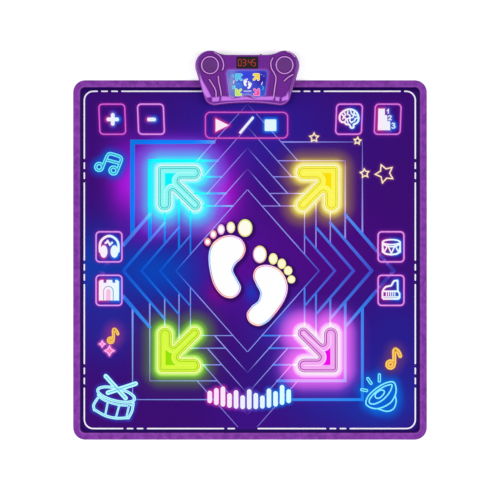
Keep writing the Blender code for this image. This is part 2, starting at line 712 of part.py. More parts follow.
def door_outline(grow=0.0):
    """Plan of the battery door: the bay's rectangle with a round tab for its screw on the left."""
    left = bay_left + AIR - grow
    right = bay_right - AIR + grow
    near = BAY_FRONT + AIR - grow
    far = bay_far - AIR + grow
    tab_half = DOOR_TAB + grow
    tab = [(left, tab_y + tab_half)] + arc(tab_x, tab_y, tab_half, 90, 270, 6) + [(left, tab_y - tab_half)]
    return [(left, near), (right, near), (right, far), (left, far)] + tab


# Door boss, the bay with its open mouth, the door's seat and the holes for the screws
door_screw_top = CASE_BOTTOM + DOOR_THICKNESS + AIR + CELL_DIAMETER / 2
solid = bmesh.new()
boss_radius = DOOR_TAB + AIR + DOOR_BOSS_WALL
add_prism(solid, circle(tab_x, tab_y, boss_radius, 16), floor_inside, door_screw_top + CASE_WALL)
boolean(bottom_shell, make_tool("door_boss", solid), 'UNION')
solid = bmesh.new()
add_box(solid, (bay_left, BAY_FRONT, -FAR), (bay_right, bay_far, BAY_CEILING))
boolean(bottom_shell, make_tool("battery_bay", solid), 'DIFFERENCE')
solid = bmesh.new()
add_prism(solid, door_outline(AIR), -FAR, CASE_BOTTOM + DOOR_THICKNESS + AIR)
boolean(bottom_shell, make_tool("door_seat", solid), 'DIFFERENCE')
solid = bmesh.new()
for x, y in case_places:
    head_top = CASE_BOTTOM + AIR + HEAD_THICKNESS + AIR
    rings = ((HEAD_RECESS, -FAR), (HEAD_RECESS, head_top),
             (SCREW_HOLE, head_top), (SCREW_HOLE, SEAM_Z + PLAY))
    add_stack(solid, [level(circle(x, y, radius, 12), height) for radius, height in rings])
for x, y in clamp_places:
    add_prism(solid, circle(x, y, SCREW_HOLE, 8), COVER_TOP, SEAM_Z + PLAY)
add_prism(solid, circle(tab_x, tab_y, SCREW_HOLE, 10), CASE_BOTTOM, door_screw_top + AIR)
boolean(bottom_shell, make_tool("bottom_screw_holes", solid), 'DIFFERENCE')

# Battery door with its screw, which stays in the tab
solid = bmesh.new()
add_prism(solid, door_outline(), CASE_BOTTOM, CASE_BOTTOM + DOOR_THICKNESS)
battery_door = make_object("battery_door", solid, (CASE_X, tab_y, CASE_BOTTOM))
paint(battery_door, srgb(96, 34, 128), 0.35)
solid = bmesh.new()
rings = ((HEAD_RECESS, -FAR), (HEAD_RECESS, CASE_BOTTOM + DOOR_SCREW_HEAD + AIR),
         (SCREW_HOLE, CASE_BOTTOM + DOOR_SCREW_HEAD + AIR), (SCREW_HOLE, CASE_BOTTOM + DOOR_THICKNESS + AIR))
add_stack(solid, [level(circle(tab_x, tab_y, radius, 12), height) for radius, height in rings])
boolean(battery_door, make_tool("door_screw_hole", solid), 'DIFFERENCE')


def add_screw(solid, x, y, head_z, head_thickness, tip_z):
    """Screw with its head down: flat head, straight shank and a short point."""
    shank_z = head_z + head_thickness
    rings = ((HEAD_RADIUS, head_z), (HEAD_RADIUS, shank_z), (SHANK_RADIUS, shank_z),
             (SHANK_RADIUS, tip_z - SHANK_RADIUS), (SHANK_RADIUS / 3, tip_z))
    add_stack(solid, [level(circle(x, y, radius, 10), height) for radius, height in rings])


solid = bmesh.new()
add_screw(solid, tab_x, tab_y, CASE_BOTTOM, DOOR_SCREW_HEAD, door_screw_top)
door_screw = make_object("door_screw", solid, (tab_x, tab_y, CASE_BOTTOM), True)
paint(door_screw, srgb(190, 190, 195), 0.3, 1.0)

for side, (x, y) in zip(LOBES, case_places):
    solid = bmesh.new()
    add_screw(solid, x, y, CASE_BOTTOM + AIR, HEAD_THICKNESS, SCREW_TIP)
    case_screw = make_object("case_screw_" + side, solid, smooth=True)
    paint(case_screw, srgb(190, 190, 195), 0.3, 1.0)

# Clamp plate in a window of the base layers, and its screws up through the mat into the console
plate_top = LOWER_Z - AIR


def clamp_outline(grow=0.0):
    """Plan of the clamp plate, larger by a margin."""
    return rounded_rectangle(CLAMP_LENGTH + 2 * grow, CLAMP_WIDTH + 2 * grow, CLAMP_CORNER + grow,
                             CASE_X, CASE_Y + CLAMP_Y, 0.0, 3)


solid = bmesh.new()
add_prism(solid, clamp_outline(), AIR, plate_top)
clamp_plate = make_object("clamp_plate", solid)
paint(clamp_plate, srgb(40, 38, 44), 0.5)
solid = bmesh.new()
for x, y in clamp_places:
    recess = AIR + HEAD_THICKNESS + AIR
    rings = ((HEAD_RECESS, -FAR), (HEAD_RECESS, recess), (SCREW_HOLE, recess), (SCREW_HOLE, plate_top + AIR))
    add_stack(solid, [level(circle(x, y, radius, 12), height) for radius, height in rings])
boolean(clamp_plate, make_tool("clamp_plate_holes", solid), 'DIFFERENCE')
for number, (x, y) in enumerate(clamp_places, 1):
    solid = bmesh.new()
    add_screw(solid, x, y, AIR, HEAD_THICKNESS, SCREW_TIP)
    clamp_screw = make_object(f"clamp_screw_{number}", solid, smooth=True)
    paint(clamp_screw, srgb(190, 190, 195), 0.3, 1.0)

solid = bmesh.new()
add_prism(solid, clamp_outline(PLAY), -FAR, plate_top + AIR / 2)
clamp_window = make_tool("clamp_window", solid)
boolean(base_fabric, clamp_window, 'DIFFERENCE')
boolean(base_foam, clamp_window, 'DIFFERENCE')
solid = bmesh.new()
for x, y in clamp_places:
    add_prism(solid, circle(x, y, SCREW_HOLE, 8), plate_top + AIR / 2, COVER_TOP + AIR / 2)
mat_screw_holes = make_tool("mat_screw_holes", solid)
for layer in (lower_membrane, membrane_spacer, upper_membrane, core_foam, top_cover):
    boolean(layer, mat_screw_holes, 'DIFFERENCE')

# Printed tail of the membranes: over the upper membrane, up through the cover and on to the board
board_top = BOARD_Z + BOARD_THICKNESS
tail_start = CASE_Y + TAIL_START
tail_rise = CASE_Y + TAIL_RISE_Y
tail_end = CASE_Y + BOARD_FRONT + TAIL_OVERLAP
tail_low = CORE_Z
tail_high = board_top + AIR
rise_far = tail_rise + TAIL_THICKNESS
strip = [(tail_start, tail_low), (rise_far, tail_low), (rise_far, tail_high), (tail_end, tail_high),
         (tail_end, tail_high + TAIL_THICKNESS), (tail_rise, tail_high + TAIL_THICKNESS),
         (tail_rise, tail_low + TAIL_THICKNESS), (tail_start, tail_low + TAIL_THICKNESS)]
solid = bmesh.new()
add_stack(solid, [[(CASE_X + side * TAIL_WIDTH / 2, y, z) for y, z in strip] for side in (-1, 1)])
membrane_tail = make_object("membrane_tail", solid)
paint(membrane_tail, srgb(205, 208, 212), 0.3)
tail_half = TAIL_WIDTH / 2 + PLAY
solid = bmesh.new()
add_box(solid, (CASE_X - tail_half, tail_start - PLAY, CORE_Z - AIR / 2),
        (CASE_X + tail_half, CASE_Y, COVER_Z - AIR / 2))
boolean(core_foam, make_tool("tail_notch", solid), 'DIFFERENCE')
solid = bmesh.new()
add_box(solid, (CASE_X - tail_half, tail_rise - PLAY, CORE_Z + CORE_FOAM / 2),
        (CASE_X + tail_half, rise_far + PLAY, FRONT_FLOOR + CASE_WALL + PLAY))
tail_slot = make_tool("tail_slot", solid)
boolean(top_cover, tail_slot, 'DIFFERENCE')
boolean(bottom_shell, tail_slot, 'DIFFERENCE')

# Main board on the battery bay, with the tail's connector and its larger components
solid = bmesh.new()
board_y = CASE_Y + BOARD_FRONT + BOARD_LENGTH / 2
add_prism(solid, rounded_rectangle(BOARD_WIDTH, BOARD_LENGTH, BOARD_THICKNESS, CASE_X, board_y, 0.0, 1),
          BOARD_Z, board_top)
main_board = make_object("main_board", solid)
paint(main_board, srgb(30, 92, 58), 0.5)
connector_y = tail_end + AIR + TAIL_CONNECTOR[1] / 2
components = [(CASE_X, connector_y, *TAIL_CONNECTOR)]
components += [(CASE_X + x, board_y + y, *size) for x, y, *size in COMPONENTS]
solid = bmesh.new()
for x, y, width, length, height in components:
    add_box(solid, (x - width / 2, y - length / 2, board_top - AIR),
            (x + width / 2, y + length / 2, board_top + height))
boolean(main_board, make_tool("board_components", solid), 'UNION')

# Cells side by side, every second one turned round
cell_near = BAY_FRONT + CONTACT_SPACE
cell_far = cell_near + CELL_LENGTH + CELL_NUB_HEIGHT


def end_circle(x, y, radius, sides=16):
    """Upright circle that faces along +Y."""
    return [(px, y, CELL_Z - pz) for px, pz in circle(x, 0.0, radius, sides)]


cell_x = [bay_left + CELL_PITCH * (k + 0.5) for k in range(CELLS)]
cell_radius = CELL_DIAMETER / 2
for number, x in enumerate(cell_x, 1):
    if number % 2:
        rings = ((cell_radius, cell_near), (cell_radius, cell_far - CELL_NUB_HEIGHT),
                 (CELL_NUB / 2, cell_far - CELL_NUB_HEIGHT), (CELL_NUB / 2, cell_far))
    else:
        rings = ((CELL_NUB / 2, cell_near), (CELL_NUB / 2, cell_near + CELL_NUB_HEIGHT),
                 (cell_radius, cell_near + CELL_NUB_HEIGHT), (cell_radius, cell_far))
    solid = bmesh.new()
    add_stack(solid, [end_circle(x, y, radius) for radius, y in rings])
    battery = make_object(f"battery_{number}", solid, smooth=True)
    paint(battery, srgb(60, 62, 68), 0.35, 0.4)

# Contact strips across the bay's ends, with a raised contact for each cell
strip_half = CELL_PITCH * CELLS / 2 - AIR
contact_half = CELL_NUB / 2 + CONTACT_PLATE
for end, strip_y, toward in (("near", BAY_FRONT + AIR, 1), ("far", bay_far - AIR, -1)):
    face_y = strip_y + toward * CONTACT_PLATE
    contact_y = strip_y + toward * (CONTACT_SPACE - 2 * AIR)
    solid = bmesh.new()
    add_box(solid, (CASE_X - strip_half, min(strip_y, face_y), CELL_Z - CELL_NUB),
            (CASE_X + strip_half, max(strip_y, face_y), CELL_Z + CELL_NUB))
    contact_strip = make_object("contact_strip_" + end, solid)
    paint(contact_strip, srgb(200, 200, 205), 0.25, 1.0)
    solid = bmesh.new()
    for x in cell_x:
        low_y, high_y = sorted((strip_y + toward * CONTACT_PLATE / 2, contact_y))
        add_box(solid, (x - contact_half, low_y, CELL_Z - contact_half),
                (x + contact_half, high_y, CELL_Z + contact_half))
    boolean(contact_strip, make_tool("raised_contacts_" + end, solid), 'UNION')

# Display: dark window held by its flange, digit module behind it
flange_top = CASE_WALL + AIR
solid = bmesh.new()
add_stack(solid, [level(window_outline(FLANGE_WIDTH), under_top(flange_top + FLANGE_THICKNESS)),
                  level(window_outline(FLANGE_WIDTH), under_top(flange_top)),
                  level(window_outline(), under_top(flange_top)),
                  level(window_outline(), under_top(WINDOW_SUNK))])
display_window = make_object("display_window", solid)
paint(display_window, srgb(18, 8, 10), 0.1)
solid = bmesh.new()
add_prism(solid, window_outline(-DISPLAY_MARGIN), tail_high, under_top(flange_top + FLANGE_THICKNESS + AIR))
display_module = make_object("display_module", solid)
paint(display_module, srgb(40, 12, 12), 0.4)

# Picture plate stuck in its recess
solid = bmesh.new()
add_prism(solid, plate_outline(), under_top(PLATE_DEPTH - AIR), under_top(0.0))
picture_plate = make_object("picture_plate", solid)
paint(picture_plate, srgb(60, 60, 190), 0.3)

# Speakers under the lobes and the pierced grilles over them
grille_top = DISH_DEPTH + AIR / 2
grille_bottom = CASE_WALL + AIR + GRILLE_FLANGE_THICKNESS
speaker_top = grille_bottom + AIR
for side, (x, y) in LOBES.items():
    solid = bmesh.new()
    rings = ((GRILLE_RADIUS + GRILLE_FLANGE, grille_bottom), (GRILLE_RADIUS + GRILLE_FLANGE, CASE_WALL + AIR),
             (GRILLE_RADIUS, CASE_WALL + AIR), (GRILLE_RADIUS, grille_top))
    add_stack(solid, [level(circle(x, y, radius, 24), under_top(depth)) for radius, depth in rings])
    speaker_grille = make_object("speaker_grille_" + side, solid, smooth=True)
    paint(speaker_grille, srgb(96, 38, 120), 0.5)
    solid = bmesh.new()
    for row in range(-GRILLE_RINGS, GRILLE_RINGS + 1):
        holes = 2 * GRILLE_RINGS + 1 - abs(row)
        for k in range(holes):
            hole_x = x + GRILLE_PITCH * (k - (holes - 1) / 2)
            hole_y = y + GRILLE_PITCH * row * math.sqrt(3) / 2
            add_prism(solid, circle(hole_x, hole_y, GRILLE_HOLE, 6),
                      under_top(grille_bottom + AIR), under_top(grille_top - AIR))
    boolean(speaker_grille, make_tool("grille_holes_" + side, solid), 'DIFFERENCE')

    solid = bmesh.new()
    basket = speaker_top + SPEAKER_RIM
    magnet = speaker_top + SPEAKER_DEPTH
    rings = ((MAGNET_RADIUS, magnet), (MAGNET_RADIUS, magnet - MAGNET_HEIGHT),
             (SPEAKER_RADIUS, basket), (SPEAKER_RADIUS, speaker_top))
    add_stack(solid, [level(circle(x, y, radius), under_top(depth)) for radius, depth in rings])
    speaker = make_object("speaker_" + side, solid, smooth=True)
    paint(speaker, srgb(50, 50, 54), 0.5, 0.3)

# Slide switch: its body on the main board, its knob through the far wall
solid = bmesh.new()
body_width, body_length, body_height = SWITCH_BODY
add_box(solid, (switch_x - body_width / 2, switch_y, switch_z),
        (switch_x + body_width / 2, switch_y + body_length, switch_z + body_height))
switch_body = make_object("switch_body", solid)
paint(switch_body, srgb(200, 200, 205), 0.35, 0.8)
knob_x = switch_x - SWITCH_TRAVEL / 2
knob_y = switch_y + body_length + AIR
solid = bmesh.new()
add_box(solid, (knob_x - KNOB[0] / 2, knob_y, knob_z - KNOB[1] / 2),
        (knob_x + KNOB[0] / 2, FAR_WALL_Y + KNOB_PROUD, knob_z + KNOB[1] / 2))
switch_knob = make_object("switch_knob", solid, (knob_x, knob_y, knob_z))
paint(switch_knob, srgb(30, 28, 34), 0.5)

# Rubber feet under the deep part of the console
for side, (x, y) in LOBES.items():
    solid = bmesh.new()
    add_prism(solid, circle(x, y + FOOT_SHIFT, FOOT_RADIUS), 0.0, FOOT_THICKNESS)
    rubber_foot = make_object("rubber_foot_" + side, solid, smooth=True)
    paint(rubber_foot, srgb(30, 30, 32), 0.85)
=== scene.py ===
"""Finish of the light-up dance mat and its console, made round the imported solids.

Shapes are worked out in millimetres from the middle of the mat's underside and go into the meshes
in metres. Colours are written as 0 to 255 and are turned into linear light when a mesh or a
material takes them.
"""

import bmesh
import bpy
import numpy as np
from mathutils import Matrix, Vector
from mathutils.geometry import delaunay_2d_cdt


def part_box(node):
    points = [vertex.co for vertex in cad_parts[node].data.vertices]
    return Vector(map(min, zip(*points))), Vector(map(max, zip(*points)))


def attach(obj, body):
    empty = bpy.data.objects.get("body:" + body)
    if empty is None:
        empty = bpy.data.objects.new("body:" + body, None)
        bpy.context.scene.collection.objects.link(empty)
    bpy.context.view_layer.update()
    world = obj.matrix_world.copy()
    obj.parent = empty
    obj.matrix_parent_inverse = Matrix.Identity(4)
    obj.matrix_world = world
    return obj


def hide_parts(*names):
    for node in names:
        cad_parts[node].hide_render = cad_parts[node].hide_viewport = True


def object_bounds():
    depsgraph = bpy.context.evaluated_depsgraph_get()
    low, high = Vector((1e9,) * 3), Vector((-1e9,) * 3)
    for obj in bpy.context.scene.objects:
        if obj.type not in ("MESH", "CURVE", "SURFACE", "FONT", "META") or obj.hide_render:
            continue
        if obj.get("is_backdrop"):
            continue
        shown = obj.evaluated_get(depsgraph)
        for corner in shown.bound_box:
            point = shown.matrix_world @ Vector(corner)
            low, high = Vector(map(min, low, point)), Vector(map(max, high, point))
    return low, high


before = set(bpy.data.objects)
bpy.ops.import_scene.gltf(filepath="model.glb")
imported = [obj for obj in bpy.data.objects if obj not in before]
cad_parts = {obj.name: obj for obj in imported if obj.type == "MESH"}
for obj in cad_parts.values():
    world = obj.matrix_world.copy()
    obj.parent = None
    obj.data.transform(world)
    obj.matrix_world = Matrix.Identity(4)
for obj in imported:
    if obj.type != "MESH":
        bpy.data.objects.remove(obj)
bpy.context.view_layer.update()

# Base fabric: dark cloth flat on the floor, thinned and raised at its rim where the binding holds
# it, with a window for the clamp plate. Small rubber dots printed on its underside stop it sliding.
MM = 0.001
_, binding_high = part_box("edge_binding")
HALF_WIDTH = binding_high.x / MM
HALF_LENGTH = binding_high.y / MM
MAT_CORNER = 31.0
FLAT_CORNER = 12.0
BINDING_WIDTH = 18.0
AIR = 0.3
FABRIC_TOP = 1.0
FABRIC_UNDER = 0.35
HEM_FABRIC_UNDER = 1.1
HEM_FABRIC_TOP = 1.7
FABRIC_RISE = 2.0
FABRIC_INSET = 1.4
CLAMP_GAP = 1.2
CLAMP_CORNER = 6.6
DOT_PITCH = 14.0
DOT_RADIUS = 2.2
DOT_FACE_RADIUS = 1.54
DOT_EDGE = 0.15
DOT_MARGIN = 4.0
DOT_SIDES = 8
SMOOTH_BELOW = 40


def linear(colours):
    """Linear light from 0 to 255 values: the standard screen curve, taken value by value."""
    share = np.asarray(colours, float) / 255
    return np.where(share <= 0.04045, share / 12.92, ((share + 0.055) / 1.055) ** 2.4)


def opaque(colour):
    """Linear light of a colour with full cover, as the sockets take it."""
    return (*linear(colour), 1.0)


def wire(material, kind, inputs=None, **settings):
    """Add a node to a material; each input takes a value or another node's output."""
    made = material.node_tree.nodes.new("ShaderNode" + kind)
    for setting, value in settings.items():
        setattr(made, setting, value)
    for socket, value in (inputs or {}).items():
        if isinstance(value, bpy.types.NodeSocket):
            material.node_tree.links.new(value, made.inputs[socket])
        else:
            made.inputs[socket].default_value = value
    return made


def new_finish(name, roughness, colour=(200, 200, 200), **amounts):
    """Material whose shader holds these constants; a socket's words are joined with _ here."""
    material = bpy.data.materials.new(name)
    material.use_nodes = True
    shader = material.node_tree.nodes["Principled BSDF"]
    shader.inputs["Base Color"].default_value = opaque(colour)
    shader.inputs["Roughness"].default_value = roughness
    for words, amount in amounts.items():
        shader.inputs[words.replace("_", " ")].default_value = amount
    return material


def shade(material, **outputs):
    """Link outputs to sockets of the material's shader."""
    shader = material.node_tree.nodes["Principled BSDF"]
    for words, output in outputs.items():
        material.node_tree.links.new(output, shader.inputs[words.replace("_", " ")])


def placed(material):
    """Object coordinates, in metres."""
    return wire(material, "TexCoord").outputs["Object"]


def texture(material, kind, output, inputs, **settings):
    """Output of a texture that lies on the object."""
    return wire(material, kind, {"Vector": placed(material), **inputs}, **settings).outputs[output]


def speckle(material, scale, detail=3.0):
    """Cloudy noise at so many features to the metre."""
    return texture(material, "TexNoise", "Fac", {"Scale": scale, "Detail": detail})


def blend(material, value, dark, light, low=0.3, high=0.7):
    """Base colour that goes from dark to light while the value goes from low to high."""
    made = wire(material, "ValToRGB", {"Fac": value})
    for stop, (at, colour) in zip(made.color_ramp.elements, ((low, dark), (high, light))):
        stop.position = at
        stop.color = opaque(colour)
    shade(material, Base_Color=made.outputs["Color"])


def dent(material, height, depth):
    """Bump so many millimetres deep, put on the shader."""
    made = wire(material, "Bump", {"Height": height, "Distance": depth * MM, "Strength": 1.0})
    shade(material, Normal=made.outputs["Normal"])


def woven(name, dark, light, pitch, depth, sheen=0.15, **amounts):
    """Plain weave: two sets of bands that cross, with blotches of colour from the yarn's own shades."""
    material = new_finish(name, 0.85, Sheen_Weight=sheen, **amounts)
    rows = {"Scale": 314.0 / pitch, "Distortion": 0.6, "Detail": 1.0}
    bands = [texture(material, "TexWave", "Fac", rows, bands_direction=way) for way in "XY"]
    weave = wire(material, "Math", {0: bands[0], 1: bands[1]}, operation="MAXIMUM").outputs[0]
    blotches = speckle(material, 70.0, 4.0)
    patchy = wire(material, "Math", {0: weave, 1: 0.25, 2: blotches}, operation="MULTIPLY_ADD").outputs[0]
    blend(material, patchy, dark, light, 0.35, 0.95)
    dent(material, weave, depth)
    return material


def edge_distance(x, y):
    """Distance inside the mat's edge: to the nearer side, or in a corner to the arc that joins both."""
    across = HALF_WIDTH - np.abs(x)
    along = HALF_LENGTH - np.abs(y)
    apart = np.abs(across - along)
    root = np.sqrt(np.maximum(2 * FLAT_CORNER ** 2 - apart ** 2, 0))
    on_arc = (across + along - 2 * FLAT_CORNER + root) / 2
    return np.where(apart < FLAT_CORNER, on_arc, np.minimum(across, along))


def on_circle(turn):
    """Points of the unit circle at these angles, in radians."""
    return np.column_stack([np.cos(turn), np.sin(turn)])


def rounded_rectangle(width, length, radius, middle=(0.0, 0.0), lean=0.0, steps=6):
    """Plan loop: quarter circles joined by straight sides; the lean moves the near side across."""
    quarter = radius * on_circle(np.radians(np.linspace(0, 90, steps + 1)))
    corner = np.array([width / 2 - radius, length / 2 - radius])
    corners = []
    for side in ((1, 1), (-1, 1), (-1, -1), (1, -1)):
        corners.append(corner * side + quarter)
        quarter = quarter @ np.array([[0, 1], [-1, 0]])
    loop = np.vstack(corners)
    loop[:, 0] -= lean * loop[:, 1] / length
    return loop + middle


def run(points, spacing, closed=False):
    """Path in straight stretches through the points, with stations no more than the spacing apart."""
    corners = np.asarray(points, float)
    if closed:
        corners = np.vstack([corners, corners[:1]])
    steps = np.maximum(1, np.ceil(np.hypot(*np.diff(corners, axis=0).T) / spacing)).astype(int)
    at = np.concatenate([k + np.arange(count) / count for k, count in enumerate(steps)])
    if not closed:
        at = np.append(at, len(steps))
    return np.stack([np.interp(at, np.arange(len(corners)), corners[:, axis]) for axis in (0, 1)], axis=1)


def mat_loop(inset, spacing=8.0):
    """Plan of the mat at a distance inside its edge."""
    size = (2 * (HALF_WIDTH - inset), 2 * (HALF_LENGTH - inset), max(MAT_CORNER - inset, FLAT_CORNER))
    return run(rounded_rectangle(*size, steps=10), spacing, True)


def within(points, loop):
    """Whether each point is in a loop: a ray to its right then crosses the loop an odd number of times."""
    x, y = points.T
    inside = np.zeros(len(points), bool)
    near = np.flatnonzero((y >= loop[:, 1].min()) & (y <= loop[:, 1].max()) & (x <= loop[:, 0].max()))
    x, y = x[near], y[near]
    for (x0, y0), (x1, y1) in zip(loop, np.roll(loop, -1, axis=0)):
        if y0 != y1:
            inside[near] ^= ((y0 > y) != (y1 > y)) & (x < (x1 - x0) * (y - y0) / (y1 - y0) + x0)
    return inside


def fill(loops, seeds):
    """Triangles over the plane inside the first loop and outside the others, seen from above."""
    points = np.vstack([*loops, seeds])
    edges = []
    for loop in loops:
        first = len(edges)
        edges += [(first + k, first + (k + 1) % len(loop)) for k in range(len(loop))]
    made = delaunay_2d_cdt([Vector(point) for point in points], edges, [], 1, 1e-6)
    if len(made[0]) != len(points):
        raise ValueError("two loops or points of a surface meet")
    triangles = np.array(made[2])
    middle = points[triangles].mean(axis=1)
    keep = np.ones(len(triangles), bool)
    for hole in loops[1:]:
        keep &= ~within(middle, hole)
    triangles = triangles[keep]
    a, b, c = (points[triangles[:, k]] for k in range(3))
    turned = (b - a)[:, 0] * (c - a)[:, 1] - (b - a)[:, 1] * (c - a)[:, 0] < 0
    triangles[turned] = triangles[turned, ::-1]
    return points, triangles


def slab(loops, top, bottom, seeds=((), ()), colour=(255, 255, 255)):
    """Closed sheet between two heights given over x and y: filled above and below, walled at its loops."""
    above, below = (np.asarray(some, float).reshape(-1, 2) for some in seeds)
    upper, upper_faces = fill(loops, above)
    lower, lower_faces = fill(loops, below)
    points = np.vstack([np.column_stack([upper, top(*upper.T)]), np.column_stack([lower, bottom(*lower.T)])])
    walls = []
    first = 0
    for number, loop in enumerate(loops):
        here = first + np.arange(len(loop))
        there = np.roll(here, -1)
        area = np.sum(loop[:, 0] * np.roll(loop[:, 1], -1) - loop[:, 1] * np.roll(loop[:, 0], -1))
        if (area > 0) != (number == 0):
            here, there = there, here
        walls.append(np.stack([here + len(upper), there + len(upper), there, here], axis=1))
        first += len(loop)
    faces = [upper_faces, lower_faces[:, ::-1] + len(upper), np.vstack(walls)]
    return points, faces, tint(colour, *points[:, :2].T)


def tint(colour, x, y):
    """A colour for each point, from one colour or from a function of x and y."""
    if callable(colour):
        return colour(x, y)
    return np.broadcast_to(np.asarray(colour, float), (len(x), 3))


def gather(parts):
    """One surface from several, each given as its points, faces and colours."""
    starts = np.cumsum([0] + [len(points) for points, _, _ in parts])
    faces = [block + start for start, (_, blocks, _) in zip(starts, parts) for block in blocks]
    return np.vstack([part[0] for part in parts]), faces, np.vstack([part[2] for part in parts])


def add_object(name, content):
    """Object with this content, linked into the scene."""
    made = bpy.data.objects.new(name, content)
    bpy.context.scene.collection.objects.link(made)
    return made


def smooth_bends(mesh, degrees):
    """Shade a mesh smooth where it bends by less than so many degrees."""
    mesh.shade_smooth()
    mesh.set_sharp_from_angle(angle=np.radians(degrees))


def add_piece(name, surface, material, body="mat", replaced=(), smooth=False, printed=False):
    """Object made of a surface, riding on a body, with its finish and the nodes that it stands for."""
    points, faces, colours = surface
    mesh = bpy.data.meshes.new(name)
    mesh.from_pydata((points * MM).tolist(), [], [face for block in faces for face in block.tolist()])
    mesh.materials.append(material)
    if printed:
        values = np.column_stack([linear(colours), np.ones(len(points))])
        mesh.attributes.new("print", "FLOAT_COLOR", "POINT").data.foreach_set("color", values.ravel())
    if smooth:
        smooth_bends(mesh, SMOOTH_BELOW)
    mesh.validate()
    piece = add_object(name, mesh)
    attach(piece, body)
    if replaced:
        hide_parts(*replaced)
    return piece


def flat(height):
    """Height that is the same everywhere."""
    return lambda x, y: np.full(np.shape(x), float(height))


def fabric_bend(rim, floor):
    """Height of the fabric: the rim's where the binding holds it, the floor's a little further in."""
    def height(x, y):
        share = np.clip((edge_distance(x, y) - BINDING_WIDTH - AIR) / FABRIC_RISE, 0, 1)
        return rim + (floor - rim) * share
    return height


def rings(insets):
    """Points of the mat's plan at several distances inside its edge."""
    return np.vstack([mat_loop(inset) for inset in insets])


clamp_low, clamp_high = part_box("clamp_plate")
clamp_middle = np.array(clamp_low + clamp_high)[:2] / 2 / MM
clamp_size = np.array(clamp_high - clamp_low)[:2] / MM
clamp_window = rounded_rectangle(*(clamp_size + CLAMP_GAP), CLAMP_CORNER, clamp_middle)
fabric_rings = rings((BINDING_WIDTH + AIR, BINDING_WIDTH + AIR + FABRIC_RISE))
fabric = slab([mat_loop(FABRIC_INSET), clamp_window], fabric_bend(HEM_FABRIC_TOP, FABRIC_TOP),
              fabric_bend(HEM_FABRIC_UNDER, FABRIC_UNDER), (fabric_rings, fabric_rings))
base_cloth = add_piece("base_cloth", fabric, woven("base_weave", (30, 28, 34), (48, 45, 54), 0.8, 0.15),
                       replaced=["base_fabric"], smooth=True)


def lattice(spacing, low, high):
    """Points in rows, each row moved half a step from the last, between two corners."""
    rows = np.arange(low[1], high[1], spacing * np.sqrt(3) / 2)
    x, y = np.meshgrid(np.arange(low[0], high[0], spacing), rows)
    x[1::2] += spacing / 2
    return np.column_stack([x.ravel(), y.ravel()])


def mat_lattice(spacing, inset):
    """Points in rows over the mat, further inside its edge than the inset."""
    points = lattice(spacing, (-HALF_WIDTH, -HALF_LENGTH), (HALF_WIDTH, HALF_LENGTH))
    return points[edge_distance(*points.T) > inset]


def tube_faces(count, sides, closed):
    """Quads of a tube: each section joins on to the next one, and if closed the last to the first."""
    here = sides * np.arange(count if closed else count - 1)[:, None]
    there = (here + sides) % (sides * count)
    corner = np.arange(sides)
    following = (corner + 1) % sides
    quads = np.stack([here + corner, here + following, there + following, there + corner], axis=2)
    return quads.reshape(-1, 4)


dots = mat_lattice(DOT_PITCH, BINDING_WIDTH + FABRIC_RISE + DOT_MARGIN)
dots = dots[(np.abs(dots - clamp_middle) > clamp_size / 2 + DOT_MARGIN).any(axis=1)]
ring = on_circle(2 * np.pi * np.arange(DOT_SIDES) / DOT_SIDES)
levels = ((DOT_RADIUS, FABRIC_UNDER + 0.1), (DOT_RADIUS, DOT_EDGE), (DOT_FACE_RADIUS, 0.0))
dot = np.vstack([np.column_stack([ring * radius, np.full(DOT_SIDES, height)]) for radius, height in levels])
points = (dot[None] + np.column_stack([dots, np.zeros(len(dots))])[:, None]).reshape(-1, 3)
starts = np.arange(len(dots))[:, None, None] * len(dot)
walls = tube_faces(len(levels), DOT_SIDES, False)[None, :, ::-1] + starts
face = np.arange(DOT_SIDES)[None, None]
faces = [walls.reshape(-1, 4), (face + starts).reshape(-1, DOT_SIDES),
         (face[:, :, ::-1] + 2 * DOT_SIDES + starts).reshape(-1, DOT_SIDES)]
rubber = new_finish("grip_rubber", 0.7, (52, 50, 58))
dent(rubber, speckle(rubber, 2500.0), 0.04)
add_piece("grip_dots", (points, faces, points), rubber)

# Layers inside the mat: two printed membranes with a foam spacer between them, foam below and
# above. They are cut sheets that nothing shows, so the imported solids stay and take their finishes.
def porous(name, dark, light, cell, depth):
    """Foam: small rounded cells, a little darker between them."""
    material = new_finish(name, 0.95)
    cells = texture(material, "TexVoronoi", "Distance", {"Scale": 1000.0 / cell})
    blend(material, cells, light, dark, 0.1, 0.8)
    dent(material, cells, -depth)
    return material


def finish_node(material, *nodes):
    """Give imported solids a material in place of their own."""
    for node in nodes:
        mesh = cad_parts[node].data
        mesh.materials.clear()
        mesh.materials.append(material)


def tracked(name, roughness, plain, other, track, scale, width, **amounts):
    """Board or film with printed tracks, which run as the joints of brickwork between plain fields."""
    material = new_finish(name, roughness, plain, **amounts)
    shade(material, Base_Color=texture(material, "TexBrick", "Color", {
        "Scale": scale, "Mortar Size": width, "Color1": opaque(plain), "Color2": opaque(other),
        "Mortar": opaque(track)}))
    return material


layer_foam = porous("layer_foam", (205, 205, 202), (236, 236, 232), 0.9, 0.2)
finish_node(layer_foam, "base_foam", "membrane_spacer", "core_foam")
membrane_film = tracked("membrane_film", 0.25, (206, 210, 214), (214, 216, 220), (120, 122, 128), 60.0, 0.03,
                        Specular_IOR_Level=0.5)
finish_node(membrane_film, "lower_membrane", "upper_membrane", "membrane_tail")

